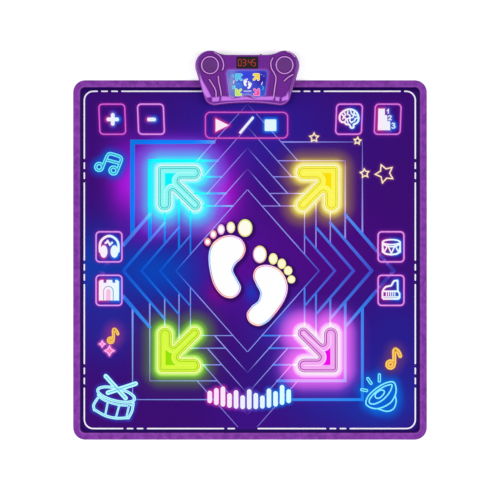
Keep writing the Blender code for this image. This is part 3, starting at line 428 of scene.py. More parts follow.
# Lamps of the arrows: a small white board with one lamp behind each arrow, and over it a light
# guide of clear acrylic that carries the light out under the whole arrow.
board_white = new_finish("lamp_board", 0.45, (238, 238, 232))
blend(board_white, speckle(board_white, 900.0), (226, 226, 218), (244, 244, 240))
acrylic = new_finish("guide_acrylic", 0.12, (226, 236, 244), Coat_Weight=0.3)
dent(acrylic, texture(acrylic, "TexVoronoi", "Distance", {"Scale": 900.0}), 0.05)
ARROWS = ("up_left", "up_right", "down_left", "down_right")
for arrow in ARROWS:
    finish_node(board_white, "led_board_" + arrow)
    finish_node(acrylic, "light_guide_" + arrow)

# Ground of the print: deep violet with soft pools of blue, magenta and plum in it, darker along
# the rim, partly as the print's own dark border and partly as painted shade of the puffed edge.
# Whatever glows in the print lights the ground and the lines round it.
VIOLET = (58.0, 7.0, 112.0)
# colour of the rim: the print's dark border and painted shade of the puff in one
RIM_PRINT_AND_SHADE = (33.0, 4.0, 86.0)
RIM_WIDTH = 27.0
POOLS = ((0, 330, 250, 150, (44, 26, 148)), (-60, 20, 140, 150, (70, 14, 140)),
         (181, 13, 170, 130, (74, 6, 128)), (-245, -31, 168, 88, (2, 68, 184)),
         (-400, -31, 90, 120, (16, 56, 168)), (-362, -165, 95, 105, (38, 34, 148)),
         (207, -323, 210, 150, (40, 32, 148)), (340, -349, 105, 95, (20, 56, 170)),
         (375, -207, 110, 140, (38, 26, 140)), (60, -150, 70, 80, (46, 36, 158)),
         (0, -413, 90, 60, (60, 12, 130)), (-318, 200, 46, 90, (168, 20, 215)),
         (-75, 165, 52, 86, (182, 20, 214)), (-190, 268, 125, 50, (132, 20, 205)),
         (-271, 80, 55, 42, (92, 22, 175)), (-20, -20, 110, 120, (84, 8, 144)),
         (-92, 80, 24, 24, (186, 56, 184)), (4, -84, 18, 28, (34, 48, 180)),
         (78, -146, 28, 26, (38, 66, 188)), (-86, -84, 30, 32, (108, 10, 134)))
glows = []


def drawn(colour, towards, share):
    """Colours drawn towards another one by a share for each point."""
    return colour + share[:, None] * (np.array(towards) - colour)


def ground(x, y):
    """Violet, drawn towards each pool's colour by a share that falls off as a bell curve in an ellipse."""
    colour = np.tile(VIOLET, (len(x), 1))
    for pool_x, pool_y, reach_x, reach_y, pool in POOLS:
        colour = drawn(colour, pool, np.exp(-((x - pool_x) / reach_x) ** 2 - ((y - pool_y) / reach_y) ** 2))
    # Darker near the rim: partly the print's own border, partly painted shade of the puffed edge.
    return drawn(colour, RIM_PRINT_AND_SHADE, np.clip((RIM_WIDTH + 2 - edge_distance(x, y)) / 4, 0, 1))


def gap_to(x, y, path):
    """Distance from each point to the nearest point of a closely spaced path."""
    best = np.full(x.shape, np.inf)
    for part in np.array_split(path, max(1, len(path) // 64)):
        across = x[:, None] - part[None, :, 0]
        along = y[:, None] - part[None, :, 1]
        best = np.minimum(best, (across ** 2 + along ** 2).min(axis=1))
    return np.sqrt(best)


def glow(path, colour, reach, strength=1.0, fall=1.6):
    """Let a path light the print: most at the path, not at all at the reach."""
    glows.append((path, colour, reach, strength, fall))


def lit(x, y, colour):
    """The colour after each glow has drawn it towards its own by its share at that distance."""
    colour = np.array(colour, float)
    for path, light, reach, strength, fall in glows:
        low, high = path.min(axis=0) - reach, path.max(axis=0) + reach
        near = np.flatnonzero((x > low[0]) & (x < high[0]) & (y > low[1]) & (y < high[1]))
        share = strength * (1 - np.clip(gap_to(x[near], y[near], path) / reach, 0, 1)) ** fall
        colour[near] = drawn(colour[near], tint(light, x[near], y[near]), share)
    return colour


def print_ground(x, y):
    """Ground of the print with every glow on it."""
    return lit(x, y, ground(x, y))


# Height of the top cover: held down at its rim by the binding, puffed up over the foam next to it
# and flat from there on. What is printed lies on it as a very thin layer of ink.
HEM_TOP = 2.8
COVER_THICKNESS = 0.8
COVER_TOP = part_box("top_cover")[1].z / MM
PUFF_START = BINDING_WIDTH + AIR
PUFF_WIDTH = 22.0
PUCKER = 0.16
PUCKER_REACH = 7.0
INK_LIFT = 0.1
INK_SINK = 0.05
SHARP_BEND = 0.75
BEND_CLEARANCE = 0.7
MITRE_LIMIT = 0.25
END_ANGLES = (80.0, 50.0, 20.0)


def cover_height(x, y):
    """Top of the cover: it rises as 1 - (1 - t)^2 over the puff, with faint puckers that fade inwards."""
    inside = edge_distance(x, y)
    share = np.clip((inside - PUFF_START) / PUFF_WIDTH, 0, 1)
    along = x + y
    pucker = np.sin(along / 7.0 + 1.7 * np.sin(along / 31.0))
    pucker *= np.exp(-((inside - PUFF_START - PUCKER_REACH) / 5) ** 2)
    return HEM_TOP + (COVER_TOP - HEM_TOP) * (1 - (1 - share) ** 2) + PUCKER * pucker


def directions(path, closed):
    """Unit steps along a path, and the steps before and after each of its points."""
    step = np.diff(np.vstack([path, path[:1]]) if closed else path, axis=0)
    step /= np.hypot(*step.T)[:, None]
    if closed:
        return step, np.roll(step, 1, axis=0), step
    return step, np.vstack([step[:1], step]), np.vstack([step, step[-1:]])


def ribbon(path, width, colour, closed=False, lift=INK_LIFT, on=cover_height, sink=INK_SINK):
    """Strip of ink along a path, half its width to either side and mitred at bends; open ends are rounded.

    The side of a point is (n + m) / (1 + n.m), where n and m are the normals before and after it.
    """
    path = np.asarray(path, float)
    width = np.broadcast_to(np.asarray(width, float), (len(path),))
    step, before, after = directions(path, closed)
    sharp = np.flatnonzero((before * after).sum(axis=1) < SHARP_BEND)
    if len(sharp):
        gap = np.hypot(*(path[:, None] - path[None, sharp]).T).T
        clear = ((gap > BEND_CLEARANCE * width[sharp]) | (gap == 0)).all(axis=1)
        path, width = path[clear], width[clear]
        step, before, after = directions(path, closed)
    both = before + after
    side = np.stack([-both[:, 1], both[:, 0]], axis=1)
    side = side / np.maximum(1 + (before * after).sum(axis=1), MITRE_LIMIT)[:, None]
    if not closed:
        bow = np.radians(END_ANGLES)[:, None]
        start = path[0] - step[0] * np.sin(bow) * width[0] / 2
        finish = path[-1] + step[-1] * np.sin(bow[::-1]) * width[-1] / 2
        path = np.vstack([start, path, finish])
        side = np.vstack([side[:1] * np.cos(bow), side, side[-1:] * np.cos(bow[::-1])])
        width = np.concatenate([width[:1].repeat(3), width, width[-1:].repeat(3)])
    reach = side * width[:, None] / 2
    left, right = path + reach, path - reach
    upper = [np.column_stack([edge, on(*edge.T) + lift]) for edge in (left, right)]
    lower = [np.column_stack([edge, on(*edge.T) - sink]) for edge in (right, left)]
    points = np.stack(upper + lower, axis=1).reshape(-1, 3)
    faces = [tube_faces(len(path), 4, closed)]
    if not closed:
        faces.append(np.array([[3, 2, 1, 0], 4 * len(path) + np.arange(-4, 0)]))
    return points, faces, tint(colour, *points[:, :2].T)


def patch(loops, colour, lift=INK_LIFT, on=cover_height, sink=INK_SINK):
    """Filled shape of ink, with holes."""
    return slab(loops, lambda x, y: on(x, y) + lift, lambda x, y: on(x, y) - sink, colour=colour)


def curve(points, closed=False, steps=8):
    """Smooth path through points: between two of them it is the Catmull-Rom cubic of the four around."""
    knots = np.asarray(points, float)
    if closed:
        knots = np.vstack([knots[-1:], knots, knots[:2]])
    else:
        knots = np.vstack([2 * knots[0] - knots[1], knots, 2 * knots[-1] - knots[-2]])
    t = (np.arange(steps) / steps)[None, :, None]
    a, b, c, d = (knots[k:len(knots) - 3 + k, None] for k in range(4))
    square, cube = 2 * a - 5 * b + 4 * c - d, 3 * b - a - 3 * c + d
    path = (0.5 * (2 * b + (c - a) * t + square * t ** 2 + cube * t ** 3)).reshape(-1, knots.shape[1])
    return path if closed else np.vstack([path, knots[-2:-1]])


def oval(middle, across, along, tilt=0.0, steps=28):
    """Ellipse with these half axes, turned by the tilt in degrees."""
    x, y = (on_circle(2 * np.pi * np.arange(steps) / steps) * (across, along)).T
    cos, sin = np.cos(np.radians(tilt)), np.sin(np.radians(tilt))
    return np.column_stack([x * cos - y * sin, x * sin + y * cos]) + middle


def printed_finish(name, roughness, specular, grain, detail, depth):
    """Finish that takes the print's colours from the mesh, with a fine grain."""
    material = new_finish(name, roughness, Specular_IOR_Level=specular)
    shade(material, Base_Color=wire(material, "Attribute", attribute_name="print").outputs["Color"])
    dent(material, speckle(material, grain, detail), depth)
    return material


film = printed_finish("printed_film", 0.5, 0.04, 1400.0, 2.0, 0.012)
ink_film = printed_finish("ink_film", 0.5, 0.04, 2200.0, 2.0, 0.008)

# Arrow pads: clear film printed on its back in cyan, yellow, green and pink, each with contour
# lines round its head and shaft and one strong patch behind the point. They are pressed by a foot.
BAR = 43.0
SHAFT = 36.5
PAD_INSET = 0.5
ARROW_CORNER = 14.0
OUTLINE_INSET = 2.4
OUTLINE_WIDTH = 3.8
CONTOUR_INSETS = {"up_left": (5.2, 10.6), "up_right": (5.2, 10.6), "down_left": (5.2, 10.6),
                  "down_right": (4.6, 10.2)}
CONTOUR_WIDTHS = (1.4, 2.1)
MIDDLE_WIDTH = 2.0
PATCH_GROW = 2.4
ARROW_LIFTS = {"patch": 0.08, "outline": 0.10, "line": 0.13, "middle": 0.16}
POINTS_TO = {"up_left": (-1, 1), "up_right": (1, 1), "down_left": (-1, -1), "down_right": (1, -1)}
ARROW_INKS = {
    "up_left": dict(film=(140, 250, 246), outline=(220, 255, 254), line=(66, 190, 186),
                    middle=(196, 255, 252), patch=(0, 244, 250)),
    "up_right": dict(film=(254, 248, 84), outline=(255, 254, 204), line=(226, 206, 60),
                     middle=(255, 250, 130), patch=(255, 225, 0)),
    "down_left": dict(film=(214, 250, 58), outline=(246, 255, 164), line=(160, 205, 50),
                      middle=(225, 250, 110), patch=(150, 226, 0)),
    "down_right": dict(film=(244, 168, 242), outline=(255, 240, 255), line=(140, 30, 142),
                       middle=(255, 225, 255), patch=(240, 0, 236)),
}
HALOS = {
    "up_left": (((150, 76, 240), 88, 0.75, 1.1), ((110, 156, 252), 74, 0.9, 0.95),
                ((66, 224, 255), 44, 0.95, 1.0), ((76, 250, 255), 22, 1.0, 0.8),
                ((175, 255, 255), 7, 1.0, 0.8)),
    "up_right": (((88, 44, 112), 75, 0.9, 1.1), ((170, 138, 78), 46, 0.95, 1.0),
                 ((244, 222, 90), 20, 0.95, 1.1), ((255, 245, 150), 7, 1.0, 0.8)),
    "down_left": (((60, 44, 105), 80, 0.9, 0.9), ((92, 146, 60), 47, 0.95, 1.0),
                  ((140, 222, 60), 20, 0.95, 1.1), ((205, 255, 120), 7, 1.0, 0.8)),
    "down_right": (((130, 44, 190), 88, 0.8, 1.2), ((200, 98, 242), 66, 0.9, 1.1),
                   ((252, 114, 248), 48, 1.0, 0.85), ((255, 235, 255), 11, 1.0, 0.6)),
}


def arc(middle, radius, start, end, steps=6):
    """Part of a circle between two angles in degrees."""
    return np.asarray(middle) + radius * on_circle(np.radians(np.linspace(start, end, steps + 1)))


def arrow_size(arrow):
    """Lowest and highest corner of an arrow pad in plan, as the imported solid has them."""
    low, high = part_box("arrow_pad_" + arrow)
    return np.array(low[:2]) / MM, np.array(high[:2]) / MM


def place_arrow(arrow, points):
    """Turn plan points with the arrow's point at 0 and its bars along +u and +v to where the arrow lies."""
    low, high = arrow_size(arrow)
    to = np.array(POINTS_TO[arrow])
    loop = (low + high) / 2 + to * (high - low) / 2 - to * np.asarray(points)
    return loop if to[0] == to[1] else loop[::-1]


def arrow_loop(arrow, inset=0.0):
    """Outline of an arrow at a distance inside its edge: bars and shaft end in half circles.

    Inside the edge, the sharp notches between shaft and bars become arcs of the inset round them.
    """
    low, high = arrow_size(arrow)
    width, length = high - low
    end_u, end_v = width - SHAFT / 2, length - SHAFT / 2
    corner = max(ARROW_CORNER - inset, 0.4)
    reach = (SHAFT / 2 + max(-inset, 0)) * np.sqrt(2)
    side = BAR + max(-inset, 0)
    notch_u = (side + end_u - end_v + reach, side)
    notch_v = (side, side + end_v - end_u + reach)
    if inset > 0:
        notch_u = arc(notch_u, inset, 270, 135, 9)
        notch_v = arc(notch_v, inset, 315, 180, 9)
    parts = [arc((corner + inset, corner + inset), corner, 180, 270, 5),
             arc((width - BAR / 2, BAR / 2), BAR / 2 - inset, 270, 450, 14), notch_u,
             arc((end_u, end_v), SHAFT / 2 - inset, -45, 135, 14), notch_v,
             arc((BAR / 2, length - BAR / 2), BAR / 2 - inset, 0, 180, 14)]
    return place_arrow(arrow, np.vstack(parts))


def arrow_middle(arrow, grow=0.0):
    """Middle lines of an arrow: along each bar and round its notch to the cusp, and down the shaft.

    Both arcs go round the notches at the bars' half width, and meet in the cusp towards the point.
    """
    low, high = arrow_size(arrow)
    width, length = high - low
    half = BAR / 2
    notch_u = np.array((BAR + width - length + SHAFT / np.sqrt(2), BAR))
    notch_v = np.array((BAR, BAR + length - width + SHAFT / np.sqrt(2)))
    radius = half + grow
    apart = notch_v - notch_u
    reach = np.sqrt(radius ** 2 - (apart @ apart) / 4)
    cusp = (notch_u + notch_v) / 2 + np.array((-apart[1], apart[0])) / np.hypot(*apart) * reach
    turn_u = np.degrees(np.arctan2(*(cusp - notch_u)[::-1])) % 360
    turn_v = np.degrees(np.arctan2(*(cusp - notch_v)[::-1])) % 360
    cut = np.degrees(np.arcsin((half - abs(grow) / 2) / radius))
    round_u = arc(notch_u, radius, 180 + cut, turn_u, 8)
    round_v = arc(notch_v, radius, 270 - cut, turn_v, 8)
    return (half, width, length), cusp, round_u, round_v


def arrow_patch(arrow):
    """Strong patch behind the point: a square cut by the arcs round both notches."""
    (half, _, _), _, round_u, round_v = arrow_middle(arrow, PATCH_GROW)
    start = half + PATCH_GROW / 2
    return place_arrow(arrow, np.vstack([(start, start), round_u[:-1], round_v[::-1]]))


for arrow in ARROWS:
    edge = run(arrow_loop(arrow), 2.0, True)
    for colour, reach, strength, fall in HALOS[arrow]:
        glow(edge, colour, reach, strength, fall)


def arrow_surface(arrow):
    """Film of a pad with its outline, contour lines, middle lines and patch."""
    inks = ARROW_INKS[arrow]
    top = flat(COVER_TOP)
    loops = [run(arrow_loop(arrow, inset), 3.0, True) for inset in (PAD_INSET, 3.0, OUTLINE_INSET)]
    parts = [slab(loops[:1], top, flat(COVER_TOP - COVER_THICKNESS), (loops[1], ()), inks["film"]),
             ribbon(loops[2], OUTLINE_WIDTH, inks["outline"], True, ARROW_LIFTS["outline"], top)]
    for inset, breadth in zip(CONTOUR_INSETS[arrow], CONTOUR_WIDTHS):
        loop = run(arrow_loop(arrow, inset), 3.0, True)
        parts.append(ribbon(loop, breadth, inks["line"], True, ARROW_LIFTS["line"], top))
    (half, width, length), cusp, round_u, round_v = arrow_middle(arrow)
    lines = (np.vstack([(width - half, half), round_u]), np.vstack([(half, length - half), round_v]),
             np.array((cusp, (width - SHAFT / 2, length - SHAFT / 2))))
    for number, line in enumerate(lines):
        path = run(place_arrow(arrow, line), 5.0)
        lift = ARROW_LIFTS["middle"] + 0.02 * number
        parts.append(ribbon(path, MIDDLE_WIDTH, inks["middle"], False, lift, top))
    parts.append(patch([arrow_patch(arrow)], inks["patch"], ARROW_LIFTS["patch"], top))
    return gather(parts)


for arrow, slot in zip(ARROWS, ("cyan", "yellow", "green", "pink")):
    add_piece("arrow_film_" + arrow, arrow_surface(arrow), ink_film, "arrow_" + arrow,
              ["arrow_pad_" + arrow], printed=True)

# Key pads: nine pressed keys of the same printed film over foam. Each has a neon frame near its
# edge and a white symbol, pink to its left and cyan to its right as if lit from both sides.
KEY_SIZE = (72.0, 83.0, 9.5)
KEYS = {"volume_up": (3.0, (204, 58, 196)), "volume_down": (3.0, (222, 124, 232)),
        "start_stop": (0.0, (190, 48, 184)), "memory": (-3.0, (220, 104, 226)),
        "level": (-3.0, (212, 90, 214)), "headphones": (0.0, (214, 126, 232)),
        "castle": (0.0, (216, 132, 240)), "drum": (0.0, (222, 124, 226)), "piano": (0.0, (224, 122, 228))}
BAR_SIZE = (218.0, 72.0, 15.5)
FRAME_INSET = 2.6
FRAME_WIDTH = 3.5
FRAME_CORNER = 9.5
FRAME_SHADE = (140, 16, 160)
NEAR_LIGHTS = ((236, 60, 150), (40, 150, 250))
FAR_LIGHTS = ((110, 20, 150), (20, 50, 200))
PALE_LIGHTS = ((255, 234, 252), (224, 254, 255))


def key_size(key):
    """Width, length and corner radius of a key."""
    return BAR_SIZE if key == "start_stop" else KEY_SIZE


def key_middle(key):
    """Middle of a key in plan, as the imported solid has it."""
    low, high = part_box("key_" + key)
    return np.array(((low + high) / 2 / MM)[:2])


def key_loop(key, inset=0.0):
    """Plan of a key at a distance inside its edge."""
    width, length, radius = key_size(key)
    return rounded_rectangle(width - 2 * inset, length - 2 * inset, radius - inset, key_middle(key),
                             KEYS[key][0])


def key_frame(key):
    """Middle line of a key's neon frame."""
    width, length, radius = key_size(key)
    size = (width - 2 * FRAME_INSET, length - 2 * FRAME_INSET, max(radius - FRAME_INSET, FRAME_CORNER))
    return run(rounded_rectangle(*size, key_middle(key), KEYS[key][0]), 2.0, True)


def two_lights(middle, width, left, right):
    """Colour that goes from the left light to the right one across a width."""
    return lambda x, y: drawn(np.array(left), right, np.clip((x - middle[0]) / width + 0.5, 0, 1))


def glyph(key):
    """Symbol of a key as lines (path, width) and filled loops, about the key's middle."""
    if key == "volume_up":
        right = np.vstack([arc((11.4, 0), 4.9, -90, 90), arc((0, 11.4), 4.9, 0, 180)])
        return [], [[np.vstack([right[:7], [(4.9, 4.9)], right[7:], [(-4.9, 4.9)],
                                -right[:7], [(-4.9, -4.9)], -right[7:], [(4.9, -4.9)]]) + (1.2, -0.5)]]
    if key == "volume_down":
        return [], [[rounded_rectangle(23, 9.6, 4.7, (1.5, -0.7))]]
    if key == "start_stop":
        start = [(-80, -17), (-80, 17), (-46, 0)]
        stop = rounded_rectangle(30, 30, 3, (62, 0))
        return [(((-16, -19), (16, 19)), 6.5)], [[np.array(start)[::-1]], [stop]]
    if key == "memory":
        return brain()
    if key == "level":
        stairs = [(-25.6, -28.4), (6.4, -28.4), (6.4, -5.6), (-1.2, -5.6), (-1.2, 10.2), (-7.4, 10.2),
                  (-7.4, 27), (-24, 27)]
        one = (((-1.4, 22.0), (1.6, 25), (1.6, 15.5)), 2.8)
        two = (np.vstack([curve([(2.0, 6.4), (5.4, 9.4), (8.8, 6.4), (6, 2.4), (2.0, -1.4)]),
                          [(9.4, -1.4)]]), 2.6)
        three = (np.vstack([curve([(11, -11.8), (15, -10.4), (18, -13), (14.4, -16.2)]),
                            curve([(14.4, -16.2), (19, -19.4), (15.4, -23.2), (10.6, -22)])[1:]]), 2.6)
        return [one, two, three], [[np.array(stairs)]]
    if key == "headphones":
        band = curve([(-23.5, -12), (-23.5, 6), (-19, 17), (-9.5, 25), (0.5, 28), (10.5, 25), (20, 17),
                      (24.5, 5), (24.5, -12)])
        pulse = [(-9, 9.5), (-3.5, 15), (2.5, 5.5), (8, 11)]
        cups = [[oval((-13.5, -12), 9.5, 16)], [oval((14, -12), 10, 16)]]
        return [(band, 6.0), (pulse, 5.0)], cups
    if key == "castle":
        wall = [(-26, -26), (26, -26), (26, 23), (21.5, 27), (16.5, 27), (16, 19.5), (9.5, 19.5), (8, 27),
                (-6, 27), (-7, 19.5), (-14, 19.5), (-14.5, 27), (-20.5, 27), (-26, 23)]
        return [], [[np.array(wall)]]
    if key == "drum":
        head = oval((1, 13), 24, 6.8, 0, 32)
        foot = curve([(-23, -13), (-14, -19), (1, -21), (16, -19), (25, -13)])
        hoop = curve([(-23, 9), (-13, 2.5), (1, 0.5), (15, 2.5), (25, 9)])
        zigzag = [(-23, 0), (-18.5, -14.5), (-9, 4), (1, -18), (11, 4), (20.5, -14.5), (25, 0)]
        lines = [(np.vstack([head, head[:1]]), 3.9), (foot, 4.8), (hoop, 3.7), (zigzag, 3.5),
                 (((-23, 12), (-23, -14)), 4.6), (((25, 12), (25, -14)), 4.6)]
        return [(0.94 * np.array(path), width) for path, width in lines], []
    lid = curve([(-19.5, -3), (-17, 3), (-11, 9), (-3, 11), (3, 13), (7, 20), (11, 24.5), (19, 25.5)])
    body = [(19, 25.5), (19.5, -2), (24, -8), (24, -19), (21, -22), (-17, -22), (-20, -19), (-20, -4)]
    keys = [(((x, -5), (x, -14)), 2.6) for x in (-10, -4.5, 1, 6.5, 12)]
    lines = [(lid, 4.4), (body, 4.4), (((-20, -2.5), (20, -2.5)), 4.4), *keys,
             (((-17, -17), (22, -17)), 3.2)]
    return [(np.array(path) - (2, 0), width) for path, width in lines], []


def brain():
    """Side view of a brain: its outline, the stem and the folds."""
    rim = curve([(-24.5, 5), (-22, 13), (-15, 20), (-5, 24.5), (4, 25.5), (14, 22), (21, 15), (24.5, 5),
                 (23.5, -5), (18, -11), (12, -13.5), (12, -20), (8.5, -22.5), (4.5, -21), (0, -13.5),
                 (-7, -13), (-12, -8), (-18, -7.5), (-23, -3)], True)
    folds = [curve([(-18, 12), (-14, 7), (-16, 1)]),
             curve([(-12, 17), (-9, 11), (-13, 6), (-8, 1), (-10, -5)]),
             curve([(-3, 20), (-4, 13), (2, 10), (1, 4), (-5, 0), (-3, -8)]),
             curve([(4, 22), (6, 15), (11, 11), (10, 5), (4, 3), (2, -3), (6, -9)]),
             curve([(13, 18), (14, 12), (19, 9)]), curve([(21, 3), (16, 1), (14, -4), (8, -7)])]
    return [(np.vstack([rim, rim[:1]]), 5.0)] + [(fold, 3.7) for fold in folds], []


for key, (_, frame_colour) in KEYS.items():
    middle = key_middle(key)
    glow(key_frame(key), FRAME_SHADE, 12.0, 0.6)
    glow(key_frame(key), frame_colour, 5.0, 0.85)
    lines, fills = glyph(key)
    paths = [run(np.array(path) + middle, 1.5) for path, _ in lines]
    paths += [run(loops[0] + middle, 1.5, True) for loops in fills]
    glow(np.vstack(paths), two_lights(middle, 40.0, *FAR_LIGHTS), 17.0, 0.75, 1.2)
    glow(np.vstack(paths), two_lights(middle, 0.45 * key_size(key)[0], *NEAR_LIGHTS), 8.5, 0.9, 1.2)

# Line pattern of the print: a white border broken by dashes, and inside it five squares whose
# sides open into chevrons, thick and deep blue on the left, thin and pale on the right. Lines stop
# at the arrows and keys; those that cross a key are printed on the key itself.
BORDER_SIZE = (855.8, 872.1, 23.3)
BORDER_MIDDLE = (-0.5, 0.15)
BORDER_WIDTH = 3.6
BORDER_INK = (246, 240, 255)
BORDER_LIFT = 0.18
DASH_SHIFTS = (-26, 0, 26)
DASH_HALF = 5
BREAKS = ((-362.8, 436.2), (160.4, 436.2), (-428.4, 231.5), (-428.4, -31.4), (-428.4, -299.7),
          (427.4, 231.5), (427.4, -31.4), (427.4, -299.7), (-297.6, -435.9), (226.8, -435.9))
LONE_GAPS = ((393.8, 436.2, DASH_HALF), (-62.0, -435.9, DASH_HALF), (-9.3, -435.9, 30))
PRINT_INSET = 32.5
LINE_CLEARANCE = 0.6
CROSSING_INSET = 5.0
GLOW_ALLOWANCE = 70
SQUARE_LIFT, SIDE_LIFT, TOP_LIFT = 0.08, 0.11, 0.14
PALE_VIOLET = (160, 172, 255)
PATTERN_MIDDLE = np.array((-6.5, -27.9))
SQUARES = np.array(((297, 333), (252.5, 284.5), (214, 243), (177, 200), (147.5, 167.5)))
APEXES = np.array(((378, 431.6), (321, 372), (274, 317.5), (226, 263.3), (185, 210)))
SIDE_SLOPE = 1.16
TOP_SLOPE = 1.13
QUADRANTS = {
    (-1, 1): ((11.5, 12.2, 9), (8.8, 8.6, 6.5), (4.6, 4.6, 4.6), (5.4, 5.4, 5.2), (3.8, 4.2, 4.2)),
    (1, 1): ((4.6, 0.8, 3.6), (4.5, 1.2, 2.8), (3, 2.5, 2.5), (3, 2.6, 2.4), (2.6, 2.4, 2.2)),
    (-1, -1): ((5.0, 2.0, 2.8), (4.0, 1.4, 2.6), (3.5, 2.5, 2.6), (3, 2.4, 2.6), (2.6, 2.2, 2.2)),
    (1, -1): ((7.5, 7.5, 7), (7, 7.4, 7.6), (5, 4.8, 4.6), (4.6, 4.4, 4.4), (4.2, 4, 3.8)),
}
SIDE_WIDTHS = {-1: ((11, 8), (8, 6), (6, 4.8), (5.2, 4.2), (3.0, 1.6)),
               1: ((9.5, 7), (8.5, 6.5), (7.5, 5.5), (6, 4.5), (3.0, 1.8))}
TOP_WIDTHS = (1.6, 2.8)


def stretches(keep, closed=False):
    """Runs of stations where keep is true, each as indices in order along the path."""
    order = np.arange(len(keep))
    if closed and not keep.all():
        order = np.roll(order, -np.flatnonzero(~keep)[0])
    cuts = np.flatnonzero(np.diff(keep[order].astype(int))) + 1
    return [part for part in np.split(order, cuts) if keep[part[0]] and len(part) > 2]


border = run(rounded_rectangle(*BORDER_SIZE, BORDER_MIDDLE, steps=8), 1.0, True)
gaps = [(x, y, shift, DASH_HALF) for x, y in BREAKS for shift in DASH_SHIFTS]
gaps += [(x, y, 0, half) for x, y, half in LONE_GAPS]
unbroken = np.ones(len(border), bool)
for x, y, shift, half in gaps:
    at = np.argmin(np.hypot(border[:, 0] - x, border[:, 1] - y)) + shift
    unbroken[np.arange(at - half, at + half + 1) % len(border)] = False
parts = [ribbon(border[np.append(part[:-1:4], part[-1])], BORDER_WIDTH, BORDER_INK, lift=BORDER_LIFT)
         for part in stretches(unbroken, True)]
add_piece("print_border", gather(parts), ink_film, printed=True)


def line_ink(colour, strength=1.0, gain=(0.85, 0.85, 0.85), least=1.0):
    """Line over the ground: a glow brightens it by the gain, and at least to a share of the lit ground."""
    def printed(x, y):
        under = ground(x, y)
        share = strength(x, y)[:, None] if callable(strength) else strength
        own = under + share * (tint(colour, x, y) - under)
        shining = lit(x, y, under)
        brighter = np.maximum(own + np.array(gain) * np.maximum(shining - under, 0), least * shining)
        return np.clip(np.minimum(brighter, np.maximum(own, shining + GLOW_ALLOWANCE)), 0, 255)
    return printed


def side_colour(x, y):
    """Deep blue at the points of the side chevrons, lighter away from them, and more so on the right."""
    share = np.clip(np.abs(y - PATTERN_MIDDLE[1]) / 120, 0, 1)[:, None]
    right = np.clip(x / 300 + 0.3, 0, 1)[:, None]
    return np.array((4, 80, 208)) + share * (np.array((18, 58, 34)) + right * np.array((26, 6, 6)))


def side_strength(x, y):
    """Nearly full, and faint between the keys at the mat's sides, more so on the left."""
    outside = np.clip((np.abs(x - PATTERN_MIDDLE[0]) - 322) / 14, 0, 1)
    return 0.95 - outside * np.where(x < 0, 0.85, 0.45)


def rhombus_colour(x, y):
    """Pale lines, deep blue only at the side corners."""
    share = np.clip(np.abs(y - PATTERN_MIDDLE[1]) / 75, 0, 1)
    return drawn(np.array((20, 82, 208)), (152, 164, 252), share)


def upper_left_colour(x, y):
    """Strong blue that pales towards the right ends of the lines."""
    return drawn(np.array((4, 118, 228)), (130, 178, 248), np.clip((x + 150) / 90, 0, 1))


def top_strength(x, y):
    """Full at the squares and faint at the points of the top and bottom chevrons."""
    share = 1 - np.clip((np.abs(y - PATTERN_MIDDLE[1]) - 150) / 290, 0, 1) * 0.45
    return share * np.clip(0.25 + np.abs(x - PATTERN_MIDDLE[0]) / 30, 0, 1)


def pad_loops(arrow_inset, key_inset):
    """Outlines of all arrows and keys at these distances inside their edges."""
    return [arrow_loop(arrow, arrow_inset) for arrow in ARROWS] + [key_loop(key, key_inset) for key in KEYS]


closed_off = pad_loops(-LINE_CLEARANCE, -LINE_CLEARANCE)
crossings = {"drum": [], "piano": [], "start_stop": []}
pattern = []


def draw_line(points, widths, colour, lift):
    """Print a line where it runs over the cover, and keep what runs over a key for that key."""
    path = run(points, 2.0)
    away = np.concatenate([[0], np.cumsum(np.hypot(*np.diff(path, axis=0).T))])
    corners = [np.argmin(np.hypot(*(path - point).T)) for point in np.asarray(points, float)]
    width = np.interp(away, away[corners], widths)
    free = edge_distance(*path.T) > PRINT_INSET
    for loop in closed_off:
        free &= ~within(path, loop)
    pattern.extend(ribbon(path[part], width[part], colour, lift=lift) for part in stretches(free))
    for key, lines in crossings.items():
        over = stretches(within(path, key_loop(key, CROSSING_INSET)))
        lines += [(path[part], width[part], colour) for part in over]


INKS = {(-1, 1): line_ink(upper_left_colour, 1.0, (0.2, 1.5, 1.0), 0.0),
        (1, 1): line_ink((158, 160, 250), 0.88), (-1, -1): line_ink((138, 170, 252), 0.88),
        (1, -1): line_ink((28, 138, 244), 0.95)}
for (to_x, to_y), rows in QUADRANTS.items():
    for (across, along), (apex_x, apex_y), widths in zip(SQUARES, APEXES, rows):
        corner = np.array(((across, SIDE_SLOPE * (apex_x - across)), (across, along),
                           ((apex_y - along) / TOP_SLOPE, along)))
        draw_line(PATTERN_MIDDLE + corner * (to_x, to_y), widths, INKS[to_x, to_y], SQUARE_LIFT)
ends = np.vstack([SQUARES[1:], (0, 0)])
for k, ((apex_x, apex_y), (across, along)) in enumerate(zip(APEXES, ends)):
    for to, widths in SIDE_WIDTHS.items():
        rise = SIDE_SLOPE * (apex_x - across) if across else apex_y
        chevron = PATTERN_MIDDLE + np.array(((to * across, rise), (to * apex_x, 0), (to * across, -rise)))
        ink = line_ink(side_colour if across else rhombus_colour, side_strength)
        draw_line(chevron, (widths[k][1], widths[k][0], widths[k][1]), ink, SIDE_LIFT)
    if across:
        for to in (-1, 1):
            reach = (apex_y - along) / TOP_SLOPE
            chevron = PATTERN_MIDDLE + np.array(((-reach, to * along), (0, to * apex_y),
                                                 (reach, to * along)))
            widths = (TOP_WIDTHS[1], TOP_WIDTHS[0], TOP_WIDTHS[1])
            draw_line(chevron, widths, line_ink(PALE_VIOLET, top_strength), TOP_LIFT)
add_piece("print_lines", gather(pattern), ink_film, printed=True)

# Key films: the printed film of each key over its own foam, in one piece with its frame, its
# symbol and the stretches of the line pattern that cross it. Pressing a key moves it as a whole.
KEY_LATTICE = (2.4, 1.8)
KEY_LIFTS = {"crossing": 0.1, "frame": 0.12, "fill": 0.14, "light": 0.16, "door": 0.17, "line": 0.18}


